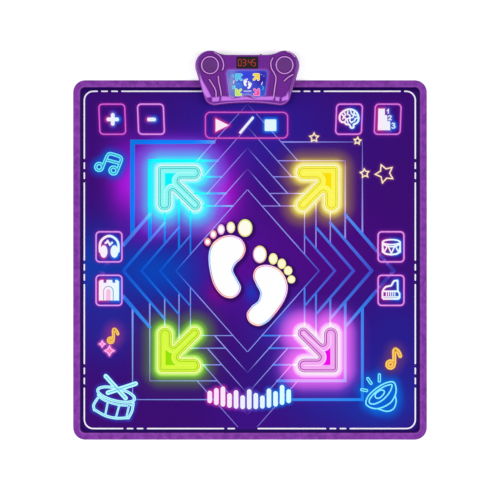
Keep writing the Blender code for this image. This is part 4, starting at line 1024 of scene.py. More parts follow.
def key_surface(key):
    """Film of a key over its foam, with the frame and the symbol on it."""
    middle = key_middle(key)
    loop = run(key_loop(key), 3.0, True)
    seeds = lattice(KEY_LATTICE[0], loop.min(axis=0), loop.max(axis=0))
    seeds = seeds[within(seeds, key_loop(key, KEY_LATTICE[1]))]
    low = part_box("key_" + key)[0].z / MM
    top = flat(COVER_TOP)
    parts = [slab([loop], top, flat(low), (seeds, ()), print_ground)]
    for path, breadth, colour in crossings.get(key, ()):
        parts.append(ribbon(path, breadth, colour, False, KEY_LIFTS["crossing"], top))
    frame_colour = np.array(KEYS[key][1])
    parts.append(ribbon(key_frame(key), FRAME_WIDTH, frame_colour, True, KEY_LIFTS["frame"], top))
    pale = frame_colour + 0.35 * (255 - frame_colour)
    parts.append(ribbon(key_frame(key), FRAME_WIDTH * 0.4, pale, True, KEY_LIFTS["light"], top))
    white = two_lights(middle, 0.8 * key_size(key)[0], *PALE_LIGHTS)
    lines, fills = glyph(key)
    for number, (path, breadth) in enumerate(lines):
        closed = np.allclose(path[0], path[-1])
        line = run(np.array(path)[:-1] if closed else path, 2.0, closed) + middle
        parts.append(ribbon(line, breadth, white, closed, KEY_LIFTS["line"] + 0.01 * number, top))
    for loops in fills:
        parts.append(patch([loop + middle for loop in loops], white, KEY_LIFTS["fill"], top))
    if key == "castle":
        gate = np.vstack([[(-14, -26)], arc((-1.5, -2), 12.5, 180, 0, 8), [(11, -26)]]) + middle
        door = np.vstack([[(-8, -26)], arc((-1.5, -2), 5.5, 180, 0, 8), [(4, -26)]]) + middle
        dim = two_lights(middle, 26, (200, 150, 190), (110, 160, 190))
        parts.append(ribbon(run(gate, 2.0), 2.2, dim, False, KEY_LIFTS["line"], top))
        parts.append(patch([door], (250, 190, 228), KEY_LIFTS["door"], top))
    return gather(parts)


for key in KEYS:
    add_piece("key_film_" + key, key_surface(key), ink_film, "key_" + key, ["key_" + key],
              printed=True)

# Footprints: two bare soles with toes printed in white on the middle of the cover, with a rim
# whose colour runs from light blue to pink and peach round each sole, and a dark shadow.
ROSE = (226, 138, 222)
CORAL = (236, 92, 112)
PEACH = (250, 172, 134)
LILAC_BLUE = (124, 158, 240)
SKY = (66, 178, 255)
LEFT_SOLE = ((-46.5, 63.8, ROSE), (-22, 53, ROSE), (-11.4, 30, CORAL), (-18.6, 7.8, CORAL),
             (-36.2, -9.8, LILAC_BLUE), (-43.9, -27.1, SKY), (-33.6, -48.6, SKY), (-23.5, -70.3, LILAC_BLUE),
             (-31.3, -89.4, ROSE), (-50.6, -98.7, PEACH), (-74.9, -89.9, CORAL), (-94.6, -62, CORAL),
             (-105.2, -20.7, LILAC_BLUE), (-106.5, 16.8, SKY), (-95.9, 42.9, PEACH), (-73.6, 59.9, CORAL))
RIGHT_SOLE = ((41.3, -12.4, ROSE), (71.1, -21.4, PEACH), (90.4, -43.7, PEACH), (97.4, -73.6, ROSE),
              (88.4, -104.9, ROSE), (67.2, -137, CORAL), (45.5, -160.2, SKY), (21.2, -170.5, PEACH),
              (-1.6, -160.2, PEACH), (-8.5, -139, CORAL), (4.7, -119.1, LILAC_BLUE), (21.2, -105.2, SKY),
              (26.1, -84.5, SKY), (16, -64.1, LILAC_BLUE), (8, -41.6, CORAL), (16.8, -20.2, CORAL))
SOLE_RIM = 4.0
SHADOW_SHIFT = (3.5, -3.5)
SHADOW_VIOLET = (42, 3, 86)
CREAM = (255, 253, 238)
PALE_YELLOW = (255, 251, 208)
WHITE = (255, 255, 255)
YELLOW = (244, 232, 138)
TOES = (((-12.7, 82.7), 18.9, 22.9, (252, 214, 140), (222, 240, 110), CREAM, 0.84),
        ((-49.6, 84.2), 10.9, 14.7, (246, 200, 190), (250, 234, 150), CREAM, 0.74),
        ((-74.9, 78.8), 9.6, 13.4, (236, 160, 226), (244, 190, 232), WHITE, 0.7),
        ((-95.1, 65.9), 9, 11.4, (238, 124, 172), (246, 166, 166), WHITE, 0.64),
        ((-109.8, 46.8), 8.8, 10.6, (240, 116, 156), (248, 156, 130), WHITE, 0.62),
        ((25.1, 14.5), 17.8, 22.7, (232, 150, 214), (250, 226, 120), WHITE, 0.84),
        ((59.9, 3.1), 11.4, 14.7, YELLOW, YELLOW, PALE_YELLOW, 0.8),
        ((82.2, -9.8), 10.9, 13.4, YELLOW, YELLOW, PALE_YELLOW, 0.8),
        ((98.5, -27.6), 10.9, 11.9, YELLOW, YELLOW, PALE_YELLOW, 0.8),
        ((107, -50.1), 10.3, 10.3, YELLOW, YELLOW, PALE_YELLOW, 0.78))


def round_colour(middle, stops):
    """Colour by the direction from a middle, between stops given as an angle and a colour."""
    def colour(x, y):
        turn = np.degrees(np.arctan2(y - middle[1], x - middle[0]))
        at = [stop[0] for stop in stops]
        return np.stack([np.interp(turn, at, [stop[1][band] for stop in stops]) for band in range(3)],
                        axis=1)
    return colour


def nearest_colour(path, colours):
    """Colour of the nearest point of a path."""
    return lambda x, y: colours[np.hypot(x[:, None] - path[:, 0], y[:, None] - path[:, 1]).argmin(axis=1)]


def sole_loop(sole, steps):
    """Outline of a sole and the colours along it, with its inside to the left."""
    loop = curve([(x, y, *colour) for x, y, colour in sole], True, steps)[::-1]
    return loop[:, :2], np.clip(loop[:, 2:], 0, 255)


def left_of(steps):
    """Unit steps at right angles to these steps, to their left."""
    return np.stack([-steps[:, 1], steps[:, 0]], axis=1) / np.hypot(*steps.T)[:, None]


parts = []
shadow = []
for sole in (LEFT_SOLE, RIGHT_SOLE):
    loop, rim_colours = sole_loop(sole, 8)
    shadow.append(loop + SHADOW_SHIFT)
    parts.append(patch([loop], WHITE, 0.12))
    inwards = left_of(np.roll(loop, -1, axis=0) - np.roll(loop, 1, axis=0))
    parts.append(ribbon(loop + inwards * SOLE_RIM / 2, SOLE_RIM, (255, 240, 250), True, 0.14))
    for inset, breadth in ((0.2, 1.1), (SOLE_RIM - 0.8, 1.8)):
        parts.append(ribbon(loop + inwards * inset, breadth, nearest_colour(loop, rim_colours), True, 0.17))
for middle, across, along, near_colour, far_colour, inner, share in TOES:
    shadow.append(oval(middle, across, along) + SHADOW_SHIFT)
    stops = ((-180, near_colour), (-135, near_colour), (0, far_colour), (90, far_colour), (180, near_colour))
    parts.append(patch([oval(middle, across, along)], round_colour(middle, stops), 0.12))
    parts.append(patch([oval(middle, across * share, along * share)], inner, 0.16))
glow(np.vstack(shadow), SHADOW_VIOLET, 9.0, 0.9, 0.8)
add_piece("print_footprints", gather(parts), ink_film, printed=True)

# Small motifs of the print: notes, drum, cymbal, stars, sparkles and a row of level bars, drawn as
# neon tubes: a bright line with a darker core, and a halo of its own colour on the ground.
TEAL = ((112, 236, 255), (34, 150, 200))
ORANGE = ((255, 208, 104), (232, 160, 62))
PALE = ((190, 255, 255), (120, 205, 235))
motifs = []


def neon(path, width, inks, halo, reach, closed=False, strength=0.85):
    """Tube of light along a path: its wide bright line, its core and its halo on the ground."""
    path = np.asarray(path, float)
    level = 0.01 * (len(motifs) // 2 % 6)
    motifs.append(ribbon(path, width, inks[0], closed, 0.10 + level))
    motifs.append(ribbon(path, width * 0.28, inks[1], closed, 0.17 + level))
    glow(run(path, 2.0, closed), halo, reach, strength, 1.2)


# Double note at the upper left.
TEAL_HALO = (10, 96, 205)
for middle in ((-390, 240.6), (-353, 231.5)):
    neon(oval(middle, 8.8, 8.8, 0, 20), 9.0, TEAL, TEAL_HALO, 26, True)
STEMS = ((-380.1, 242.4), (-374.2, 257.6), (-369.5, 268.2), (-364.3, 274.2), (-356.6, 273.9), (-339, 268.2),
         (-332.8, 262.8), (-333.9, 254.5), (-343.2, 231.3))
neon(curve(STEMS, steps=5), 9.0, TEAL, TEAL_HALO, 26)
neon(run([(-369.5, 258.4), (-338, 250.1)], 4.0), 9.0, TEAL, TEAL_HALO, 26)
# Drum at the lower left, with two sticks across it.
DRUM_HALO = (50, 84, 200)
neon(oval((-346, -347.8), 49, 16.3, -14, 48), 7.4, PALE, DRUM_HALO, 15, True)
neon(oval((-346, -356.3), 49, 16.3, -14, 48)[26:47], 5.6, PALE, DRUM_HALO, 14)
for line in (((-403.1, -386.3), (-374.9, -402.1), (-346, -408.8), (-313.7, -407.8)),
             ((-394.3, -357.9), (-404.1, -374.7), (-402.3, -387.6)),
             ((-301.6, -370.8), (-304.9, -390.2), (-313.9, -408.3))):
    neon(curve(line, steps=5), 7.0, PALE, DRUM_HALO, 14)
for line in (((-368.5, -371.6), (-373.9, -399.5)), ((-338.5, -378), (-346.5, -406.5)),
             ((-313, -378), (-319, -404))):
    neon(run(line, 4.0), 5.2, PALE, DRUM_HALO, 12)
for line in (((-372.9, -300.3), (-321.5, -357.1)), ((-295.6, -319.7), (-367.4, -343.2))):
    neon(run(line, 4.0), 11.5, PALE, DRUM_HALO, 14)
# Cymbal at the lower right, seen from above, with three strokes of sound.
CYMBAL = ((130, 240, 255), (130, 240, 255))
CYMBAL_HALO = (0, 112, 226)
OUTER = ((371.3, -315.8), (377.8, -333.9), (374.2, -351.9), (361.5, -370.3), (336.4, -383), (316.8, -383),
         (301.3, -374.4), (300.8, -361.8), (311.1, -345), (333.6, -326.9), (353.2, -317.1))
INNER = ((367.2, -324), (361.5, -340.8), (344.7, -360.5), (323.8, -371.6), (309.8, -370.3), (309.8, -359.2),
         (323.8, -342.4), (344.7, -328.2), (360.2, -322.7))
BELL = ((325.3, -345), (336.4, -336.7), (346.3, -338), (346.3, -345), (337.7, -354.8), (329.5, -357.6),
        (323.8, -353.5))
UNDERSIDE = ((375.7, -351.9), (377.8, -366.2), (371.3, -384.2), (354.5, -391.2), (333.6, -385.8))
for line in (OUTER, INNER, BELL):
    neon(curve(line, True, 5), 3.6, CYMBAL, CYMBAL_HALO, 26, True, 0.62)
neon(curve(UNDERSIDE, steps=5), 3.4, CYMBAL, CYMBAL_HALO, 28, False, 0.75)
for line in (((334.4, -297), (334.4, -313)), ((304.5, -306.5), (313, -319)),
             ((289, -335.2), (301.5, -337.6))):
    neon(run(line, 4.0), 8.5, ((120, 235, 255), (0, 96, 200)), CYMBAL_HALO, 26, False, 0.65)
# Single notes at both sides, and the sparkles by the left one.
NOTE_REACH = 34
NOTE_GLOW = (150, 80, 60)
for middle, size, halo in (((363.2, -270.2), 1.0, (112, 62, 120)), ((-360.2, -207.6), 0.74, (140, 48, 140))):
    head = oval((0, 0), 8.6 * size, 8.6 * size, 0, 20) + middle
    stem = np.array(((9.6, 3), (9.8, 18), (9.2, 33))) * size + middle
    tail = np.array(((9.2, 33), (11.5, 38.5), (17, 36.5), (22, 30), (25, 22))) * size + middle
    flag = curve(tail, steps=4)
    motifs.append(patch([oval(middle, 5.0 * size, 5.0 * size)], (214, 140, 40), 0.09))
    neon(head, 9.8 * size, ORANGE, halo, NOTE_REACH, True, 0.55)
    neon(run(stem, 4.0), 10.4 * size, ORANGE, halo, NOTE_REACH, False, 0.55)
    neon(flag, 10.6 * size, ORANGE, halo, NOTE_REACH, False, 0.55)
    for path in (run(head, 2.0, True), run(stem, 2.0), flag):
        glow(path, NOTE_GLOW, 9.0 * size, 0.9, 0.8)


def star(middle, outer, inner, points=5, turn=90.0):
    """Star with its tips at the outer radius and its notches at the inner one."""
    tips = np.arange(2 * points)
    radius = np.where(tips % 2, inner, outer)[:, None]
    return on_circle(np.radians(turn + tips * 180 / points)) * radius + middle


for middle, size in (((-363.4, -234.6), 12.2), ((-381.9, -217.1), 7.4)):
    sparkle = star(middle, size, size * 0.5, 4)
    motifs.append(patch([sparkle], (246, 120, 178), 0.12))
    motifs.append(ribbon(sparkle, 3.0, (255, 180, 246), True, 0.16))
    glow(run(sparkle, 1.5, True), (226, 92, 190), 7.0, 1.0, 0.7)
for middle, size, turn in (((165.6, 316.3), 11.6, 90), ((277.8, 308), 9.2, 84), ((296.4, 224), 11.6, 96),
                           ((348.3, 223.3), 24.5, 112)):
    loop = run(star(middle, size, size * 0.52, 5, turn), 4.0, True)
    motifs.append(ribbon(loop, 3.2, (255, 234, 196), True, 0.12))
    glow(run(loop, 2.0, True), (150, 84, 110), 9.0, 0.7, 1.2)
# Level bars along a shallow bow at the lower middle, pink at the left and cyan at the right.
bar_x = np.linspace(-104, 100, 13)
bar_height = np.array((30, 42, 50, 36, 46, 34, 50, 40, 32, 48, 38, 50, 34))
for x, height in zip(bar_x, bar_height):
    foot = -384 + 16 * ((x + 2) / 102) ** 2
    bar = run([(x, foot + 4), (x, foot + height - 6)], 6.0)
    motifs.append(ribbon(bar, 12.0, two_lights((-2, 0), 190, (255, 226, 248), (214, 255, 255)), False, 0.2))
    glow(run(bar, 2.0), two_lights((-2, 0), 120, (236, 50, 190), (0, 140, 250)), 15.0, 1.0, 0.9)
add_piece("print_motifs", gather(motifs), ink_film, printed=True)

# Printed top cover: clear film over printed cloth in one sheet, open at the arrows and keys, puffed
# up along its rim and sewn into the binding. Its corners hold the colour of the print.
COVER_INSET = 1.1
TAIL_SLOT = (51.2, 4.0, 1.2)
TAIL_MIDDLE = (-7.0, 429.0)
RING_SPACING = 3.4
PUFF_INSETS = (PUFF_START, 20.5, 23.0, 26.0, 29.5, 33.0, 36.5, 40.3)
TOP_LATTICE = (4.2, 42.5)
UNDER_LATTICE = (12.0, 46.0)


def under_cover(x, y):
    """Underside of the cover: a film's thickness below its top."""
    return cover_height(x, y) - COVER_THICKNESS


def outside(points, loops):
    """The points that lie in none of the loops."""
    for loop in loops:
        points = points[~within(points, loop)]
    return points


openings = pad_loops(PAD_INSET - AIR, -AIR)
halo_rings = [run(arrow_loop(arrow, -gap), RING_SPACING, True)
              for arrow in ARROWS for gap in (2.0, 4.5, 8.0, 12.0)]
halo_rings += [run(key_loop(key, -gap), RING_SPACING, True) for key in KEYS for gap in (1.5, 3.5, 6.5)]
puff_rings = [mat_loop(inset, 4.5) for inset in PUFF_INSETS]
tail_slot = rounded_rectangle(*TAIL_SLOT, TAIL_MIDDLE)
round_slot = rounded_rectangle(60, 12, 2, TAIL_MIDDLE)
top_seeds = outside(mat_lattice(*TOP_LATTICE), pad_loops(-13.5, -8.0) + [round_slot])
under_seeds = outside(mat_lattice(*UNDER_LATTICE), openings + [round_slot])
cover = slab([mat_loop(COVER_INSET), *openings, tail_slot], cover_height, under_cover,
             (np.vstack([top_seeds, *halo_rings, *puff_rings]), np.vstack([under_seeds, *puff_rings[::2]])),
             print_ground)
top_film = add_piece("top_film", cover, film, replaced=["top_cover"], smooth=True,
                     printed=True)

# Binding: woven tape folded round the cover and the base fabric and sewn through with one row of
# stitches. It rounds over the edge and puckers a little between the stitches.
TAPE_TOP = 3.9
STITCH_INSET = 15.0
STITCH_PITCH = 4.4
STITCH_LENGTH = 3.1
STITCH_SECTIONS = ((-0.5, 0.35), (-0.3, 1.0), (0.3, 1.0), (0.5, 0.35))
THREAD = (0.42, 0.30, 0.08)
TAPE_PUCKER = 0.14
TAPE_PROFILE = ((18.0, 3.1), (18.1, 3.6), (17.6, 3.9), (14.0, 3.9), (9.0, 3.86), (4.5, 3.8), (2.0, 3.5),
                (0.6, 2.8), (0.0, 1.95), (0.6, 1.0), (2.0, 0.3), (4.5, 0.0), (17.6, 0.0), (18.0, 0.4),
                (17.9, 0.8), (3.0, 0.8), (1.0, 1.4), (0.85, 1.95), (1.0, 2.5), (3.0, 3.05))
edge = mat_loop(0.0, 4.0)[::-1]
inward = -left_of(np.roll(edge, -1, axis=0) - np.roll(edge, 1, axis=0))
along = np.concatenate([[0], np.cumsum(np.hypot(*np.diff(edge, axis=0).T))])
profile = np.array(TAPE_PROFILE)
places = edge[:, None] + inward[:, None] * profile[None, :, :1]
pucker = TAPE_PUCKER * np.sin(along / 2.1 + 1.3 * np.sin(along / 17.0))
lifted = (profile[:, 1] > 3.4) & (profile[:, 0] > 4)
heights = profile[None, :, 1] + pucker[:, None] * lifted
points = np.concatenate([places, heights[:, :, None]], axis=2).reshape(-1, 3)
faces = [tube_faces(len(edge), len(profile), True)]
tape = woven("binding_tape", (98, 30, 134), (150, 68, 182), 1.1, 0.12, 0.05, Specular_IOR_Level=0.2)
binding = add_piece("binding_tape", (points, faces, points), tape, replaced=["edge_binding"],
                    smooth=True)
stitch_edge = run(edge + inward * STITCH_INSET, STITCH_PITCH, True)
forward = np.roll(stitch_edge, -1, axis=0) - stitch_edge
sideways = left_of(forward)
forward /= np.hypot(*forward.T)[:, None]
section = np.radians(np.array((0, 90, 180, 270)))
across, high, raised = THREAD
thread = np.array([(at * STITCH_LENGTH, across * scale * np.cos(turn), high * scale * np.sin(turn) + raised)
                   for at, scale in STITCH_SECTIONS for turn in section])
spots = stitch_edge[:, None] + forward[:, None] * thread[None, :, :1]
spots = spots + sideways[:, None] * thread[None, :, 1:2]
heights = np.broadcast_to(thread[None, :, 2:] + TAPE_TOP, (*spots.shape[:2], 1))
points = np.concatenate([spots, heights], axis=2).reshape(-1, 3)
quads = np.vstack([tube_faces(4, 4, False)[:, ::-1], [[0, 1, 2, 3], [15, 14, 13, 12]]])
faces = [(quads[None] + len(thread) * np.arange(len(stitch_edge))[:, None, None]).reshape(-1, 4)]
thread_finish = new_finish("stitch_thread", 0.7, (168, 104, 196), Sheen_Weight=0.2)
twist = texture(thread_finish, "TexWave", "Fac", {"Scale": 700.0}, bands_direction="DIAGONAL")
dent(thread_finish, twist, 0.1)
add_piece("binding_stitches", (points, faces, points), thread_finish, smooth=True)

# Console, lower parts: the bottom shell that clamps on the mat's far edge with a plate and four
# screws from below, its battery door, feet, switch, board, cells and speakers. Each keeps the
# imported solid's shape, with its edges shaded round.
CASE_X = -7.0
CASE_Y = 465.0
SEAM_Z = 20.1
PART_SMOOTH_BELOW = 32


def weld(mesh, reach, quads=False):
    """Join points that are closer than the reach and, if asked, flat pairs of triangles into quads."""
    joined = bmesh.new()
    joined.from_mesh(mesh)
    bmesh.ops.remove_doubles(joined, verts=joined.verts, dist=reach)
    if quads:
        bmesh.ops.join_triangles(joined, faces=joined.faces, angle_face_threshold=0.02,
                                 angle_shape_threshold=0.7)
    joined.to_mesh(mesh)
    joined.free()


def keep_shape(name, node, material, body="mat"):
    """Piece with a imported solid's own shape, joined up and shaded smooth where it bends gently."""
    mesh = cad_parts[node].data.copy()
    mesh.name = name
    weld(mesh, 1e-6, True)
    mesh.materials.clear()
    mesh.materials.append(material)
    smooth_bends(mesh, PART_SMOOTH_BELOW)
    piece = add_object(name, mesh)
    piece.modifiers.new("flat faces first", "WEIGHTED_NORMAL").keep_sharp = True
    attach(piece, body)
    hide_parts(node)


def moulded(name, colour, roughness, depth=0.03, **amounts):
    """Moulded plastic with the fine grain of a textured tool."""
    material = new_finish(name, roughness, colour, **amounts)
    blend(material, speckle(material, 60.0), 0.93 * np.array(colour), colour)
    dent(material, speckle(material, 1800.0, 2.0), depth)
    return material


def steel(name, colour, roughness):
    """Bright metal with fine brushed streaks."""
    material = new_finish(name, roughness, colour, Metallic=1.0)
    narrow = texture(material, "Mapping", "Vector", {"Scale": (1.0, 25.0, 1.0)})
    streaks = wire(material, "TexNoise", {"Vector": narrow, "Scale": 300.0}).outputs["Fac"]
    blend(material, streaks, 0.85 * np.array(colour), colour)
    dent(material, streaks, 0.02)
    return material


violet_plastic = moulded("console_plastic", (98, 42, 132), 0.3)
keep_shape("lower_shell", "bottom_shell", violet_plastic)
keep_shape("door", "battery_door", violet_plastic, "battery_door")
keep_shape("clamp", "clamp_plate", moulded("clamp_black", (40, 38, 46), 0.5))
black_plastic = moulded("part_black", (28, 28, 32), 0.45)
keep_shape("switch_housing", "switch_body", black_plastic)
keep_shape("switch_button", "switch_knob", moulded("knob_black", (34, 34, 38), 0.4),
           "switch_knob")
zinc = steel("screw_zinc", (190, 192, 196), 0.32)
keep_shape("door_screw_head", "door_screw", zinc, "battery_door")
for screw in ["clamp_screw_" + number for number in "1234"] + ["case_screw_left", "case_screw_right"]:
    keep_shape(screw + "_head", screw, zinc)
foot_rubber = new_finish("foot_rubber", 0.75, (44, 43, 48))
dent(foot_rubber, speckle(foot_rubber, 1500.0), 0.05)
for side in ("left", "right"):
    keep_shape("foot_" + side, "rubber_foot_" + side, foot_rubber)
jacket = new_finish("cell_jacket", 0.3, (36, 60, 120))
bands = texture(jacket, "TexWave", "Fac", {"Scale": 8.0}, bands_direction="X")
blend(jacket, bands, (32, 52, 108), (44, 72, 140), 0.48, 0.52)
for number in "1234":
    keep_shape("cell_" + number, "battery_" + number, jacket)
contact = steel("contact_spring", (206, 204, 196), 0.28)
finish_node(contact, "contact_strip_near", "contact_strip_far")
board_green = tracked("board_green", 0.35, (24, 92, 52), (30, 104, 60), (60, 130, 80), 90.0, 0.05)
finish_node(board_green, "main_board")
finish_node(black_plastic, "display_module")
speaker = steel("speaker_can", (150, 152, 156), 0.4)
for side in ("left", "right"):
    keep_shape("speaker_unit_" + side, "speaker_" + side, speaker)

# Console, top shell: one moulding in violet, wide lobes over the speakers and grips on the
# player's side. Its rim rounds over to the seam, and low crests run round the speakers, down the
# grips and beside the picture plate. The lilac on it is painted highlight: along the near slope and
# rim, on each crest and round the plate's recess; painted shade lies beside each crest and along
# the near top edge.
PICTURE_MIDDLE = (250, 260)
PICTURE_STEP = 2.584
LOBE_SPREAD = 96.0
LOBE_Y = 36.8
LOBE_RADIUS = 38.8
LOBE_RISE = 10.9
WAIST_END = 50.0
GRIP_SPREAD = 84.8
GRIP_Y = -39.7
GRIP_RADIUS = 27.0
GRIP_RISE = 6.4
CASE_RISE = 15.6
CASE_SLOPE = 0.09
TOP_EDGE_INSET = 9.0
TOP_EDGE_SHIFT = 6.0
SHELL_WALL = 2.2
SIDE_PROFILE = ((0, 0, 0), (0.05, 0, 0.45), (0.25, 0.15, 0.76), (0.62, 0.6, 0.94), (1, 1, 1))
DISH_RADIUS = 22.2
DISH_FLOOR = 18.0
DISH_DEPTH = 0.9
WINDOW = (56.0, 30.5, 3.5)
WINDOW_MIDDLE = (-7.0, 508.2)
WINDOW_SINK = 0.3
RIDGE_HEIGHT = 0.55
SHELL_VIOLET = (110, 33, 146)
# painted highlight: the lilac of the light caught on the near slope
SLOPE_HIGHLIGHT = (205, 124, 238)
# painted highlight in lilac on the crests and along the near rim
CREST_HIGHLIGHT = (244, 168, 255)
# painted highlight in lilac round the rim of the plate's recess
PLATE_RIM_HIGHLIGHT = (170, 110, 215)
SHELL_SMOOTH_BELOW = 42


def photo(points):
    """Plan points in millimetres from places in the picture, counted from its upper left corner."""
    return (np.asarray(points, float) - PICTURE_MIDDLE) * (PICTURE_STEP, -PICTURE_STEP)


def waist_radius(span, radius, rise):
    """Radius of the hollow arc that meets a lobe of this radius so far away and so far in."""
    height = radius - rise
    return (span ** 2 + height ** 2 - radius ** 2) / (2 * rise)


def case_outline(inset=0.0, shift=0.0):
    """Plan of the console: near waist, grip, lobe and far waist on the right, and the same mirrored."""
    near_radius = waist_radius(GRIP_SPREAD, GRIP_RADIUS, GRIP_RISE)
    near_y = GRIP_Y - GRIP_RADIUS + GRIP_RISE - near_radius
    near_end = np.degrees(np.arctan2(GRIP_Y - near_y, GRIP_SPREAD))
    far_radius = waist_radius(LOBE_SPREAD - WAIST_END, LOBE_RADIUS, LOBE_RISE)
    far_y = LOBE_Y + LOBE_RADIUS - LOBE_RISE + far_radius
    far_start = np.degrees(np.arctan2(far_y - LOBE_Y, WAIST_END - LOBE_SPREAD))
    lean = np.degrees(np.arctan2(LOBE_Y - GRIP_Y, LOBE_SPREAD - GRIP_SPREAD))
    between = np.hypot(LOBE_Y - GRIP_Y, LOBE_SPREAD - GRIP_SPREAD)
    side = lean - np.degrees(np.arccos((GRIP_RADIUS - LOBE_RADIUS) / between))
    flank = (np.arange(1, 24) / 24)[:, None]
    away = np.array((np.cos(np.radians(side)), np.sin(np.radians(side))))
    grip = np.array((GRIP_SPREAD, GRIP_Y)) + (GRIP_RADIUS - inset) * away
    lobe = np.array((LOBE_SPREAD, LOBE_Y)) + (LOBE_RADIUS - inset) * away
    right = np.vstack([arc((0, near_y), near_radius + inset, 90, near_end, 14),
                       arc((GRIP_SPREAD, GRIP_Y), GRIP_RADIUS - inset, near_end - 180, side, 20)[1:],
                       grip + flank * (lobe - grip),
                       arc((LOBE_SPREAD, LOBE_Y), LOBE_RADIUS - inset, side, far_start, 32),
                       arc((WAIST_END, far_y), far_radius + inset, far_start - 180, -90, 8)[1:]])
    loop = np.vstack([right, (right * (-1, 1))[-1:0:-1]])
    following = np.roll(loop, -1, axis=0)
    loop = np.stack([loop + (following - loop) * k / 3 for k in range(3)], axis=1).reshape(-1, 2)
    return loop + (CASE_X, CASE_Y + shift)


def case_top(x, y):
    """Height of the console's flat top, which rises gently away from the player."""
    return SEAM_Z + CASE_RISE + CASE_SLOPE * (y - CASE_Y)


def plate_outline(grow):
    """Plan of the picture plate: wider at its far side, with a hump in the middle of the near side."""
    far_half, near_half = 44.5 + grow, 38.5 + grow
    far_y, near_y = 15.5 + grow, -35.0 - grow
    share = np.arange(6) / 6
    hump = np.column_stack([20 * share, near_y - 9.5 + 4.5 * (1 + np.cos(np.pi * share)) / 2])
    right = np.vstack([hump, arc((near_half, near_y), 9.5, 270, 360, 6),
                       arc((far_half, far_y), 9.5, 0, 90, 6)])
    left = (right * (-1, 1))[-1:0:-1]
    return np.vstack([right, left]) + (CASE_X, CASE_Y)


LOBES = np.array(((CASE_X - LOBE_SPREAD, CASE_Y + LOBE_Y), (CASE_X + LOBE_SPREAD, CASE_Y + LOBE_Y)))
CRESTS = [curve(photo(path), steps=8) for path in (
    ((214.4, 53.2), (218.5, 55.5), (222.0, 59.5), (223.6, 64.5), (223.4, 68.5), (222.4, 70.5)),
    ((218.4, 77.0), (219.0, 83), (220.6, 90), (221.3, 95.5)),
    ((209.5, 80.2), (213.0, 85.5), (215.8, 91), (216.3, 97)),
    ((272.6, 58.8), (270.8, 63.0), (271.4, 69), (274.3, 74), (275.9, 79), (274.6, 89), (273.4, 98.5)),
    ((292.8, 75.2), (288, 78.0), (284.2, 81.4)), ((286.5, 52.3), (291, 54), (294.8, 57.6)),
    ((229, 96), (231, 97.6), (234, 98.2)), ((241, 97.8), (243.8, 96)),
    ((251, 96), (254, 98), (258, 98.2), (263, 97)))]
CRESTS += [arc(lobe, 21.6, 60, -296, 44) for lobe in LOBES]
CRESTS = [run(crest, 1.5) for crest in CRESTS]
# Patches of painted highlight in lilac along the near slope and the near left side.
SLOPE_HIGHLIGHT_PATCHES = [photo(loop) for loop in (
    ((212, 97.8), (219.6, 97.2), (219.0, 101.6), (212.3, 102.2)),
    ((221.5, 96.6), (228, 97), (233, 99), (246, 97), (254, 99), (263, 97.2), (273, 96.6), (273.5, 100.5),
     (246, 100.2), (229, 101.0), (221.0, 101.4)),
    ((275, 97.2), (279.8, 97.6), (279.0, 101.6), (275.4, 101)),
    ((281.5, 98.5), (286, 96.0), (288.2, 91.5), (288.4, 100), (281.8, 101.6)),
    ((199.8, 74.5), (202.5, 81), (208, 90.5), (211.4, 97.4), (207.0, 98.2), (203, 92), (200.6, 83)))]
# Line just inside the console's rim that carries a painted highlight on the near side.
RIM_HIGHLIGHT_LINE = run(case_outline(2.6, 1.0), 1.5, True)


def shell_relief(x, y):
    """Height over the flat top: the speakers' dishes sink, and crests rise as narrow bell curves."""
    relief = np.zeros(len(x))
    for lobe in LOBES:
        away = np.hypot(x - lobe[0], y - lobe[1])
        share = np.clip((DISH_RADIUS - away) / (DISH_RADIUS - DISH_FLOOR), 0, 1)
        relief -= DISH_DEPTH * share ** 2 * (3 - 2 * share)
    inner = np.clip((gap_to(x, y, top_edge) - 0.5) / 3, 0, 1)
    for crest in CRESTS:
        relief += RIDGE_HEIGHT * inner * np.exp(-(gap_to(x, y, crest) / 1.6) ** 2)
    return relief


def shell_colour(x, y):
    """Violet with painted highlights in lilac on the near slope, near rim, crests and plate's rim, and
    painted shade beside crests and the near top edge.
    """
    points = np.column_stack([x, y])
    colour = tint(SHELL_VIOLET, x, y).copy()
    near_side = np.clip((CASE_Y + 62 - y) / 30, 0, 1)
    # Painted shade along the top's edge on the near side, where the top rounds over into the rim.
    colour *= 1 - (0.3 * near_side * np.exp(-((gap_to(x, y, top_edge) + 0.5) / 1.6) ** 2))[:, None]
    # Painted highlight in lilac along the rim on the near side.
    colour = drawn(colour, CREST_HIGHLIGHT, 0.6 * near_side * np.exp(-(gap_to(x, y, RIM_HIGHLIGHT_LINE) / 0.9) ** 2))
    # Painted shade just beside each crest, and a painted highlight in lilac along its top.
    for crest in CRESTS:
        gap = gap_to(x, y, crest)
        colour *= 1 - 0.38 * np.exp(-((gap - 3.0) / 1.5) ** 2)[:, None]
        colour = drawn(colour, CREST_HIGHLIGHT, np.exp(-(gap / 1.2) ** 4))
    # Painted highlight in lilac round the plate's recess.
    plate_gap = gap_to(x, y, run(plate_outline(1.8), 1.0, True))
    colour = drawn(colour, PLATE_RIM_HIGHLIGHT, 0.4 * np.exp(-(plate_gap / 2.2) ** 2))
    # Painted highlight: the near slope's patches turn lilac, with soft edges.
    for loop in SLOPE_HIGHLIGHT_PATCHES:
        gap = gap_to(x, y, run(loop, 0.5, True))
        share = np.clip(0.5 + np.where(within(points, loop), gap, -gap) / 4.5, 0, 1)
        colour = drawn(colour, SLOPE_HIGHLIGHT, share ** 2 * (3 - 2 * share))
    return colour


steps = curve(SIDE_PROFILE, steps=7)
top_edge = run(case_outline(TOP_EDGE_INSET, TOP_EDGE_SHIFT), 1.5, True)


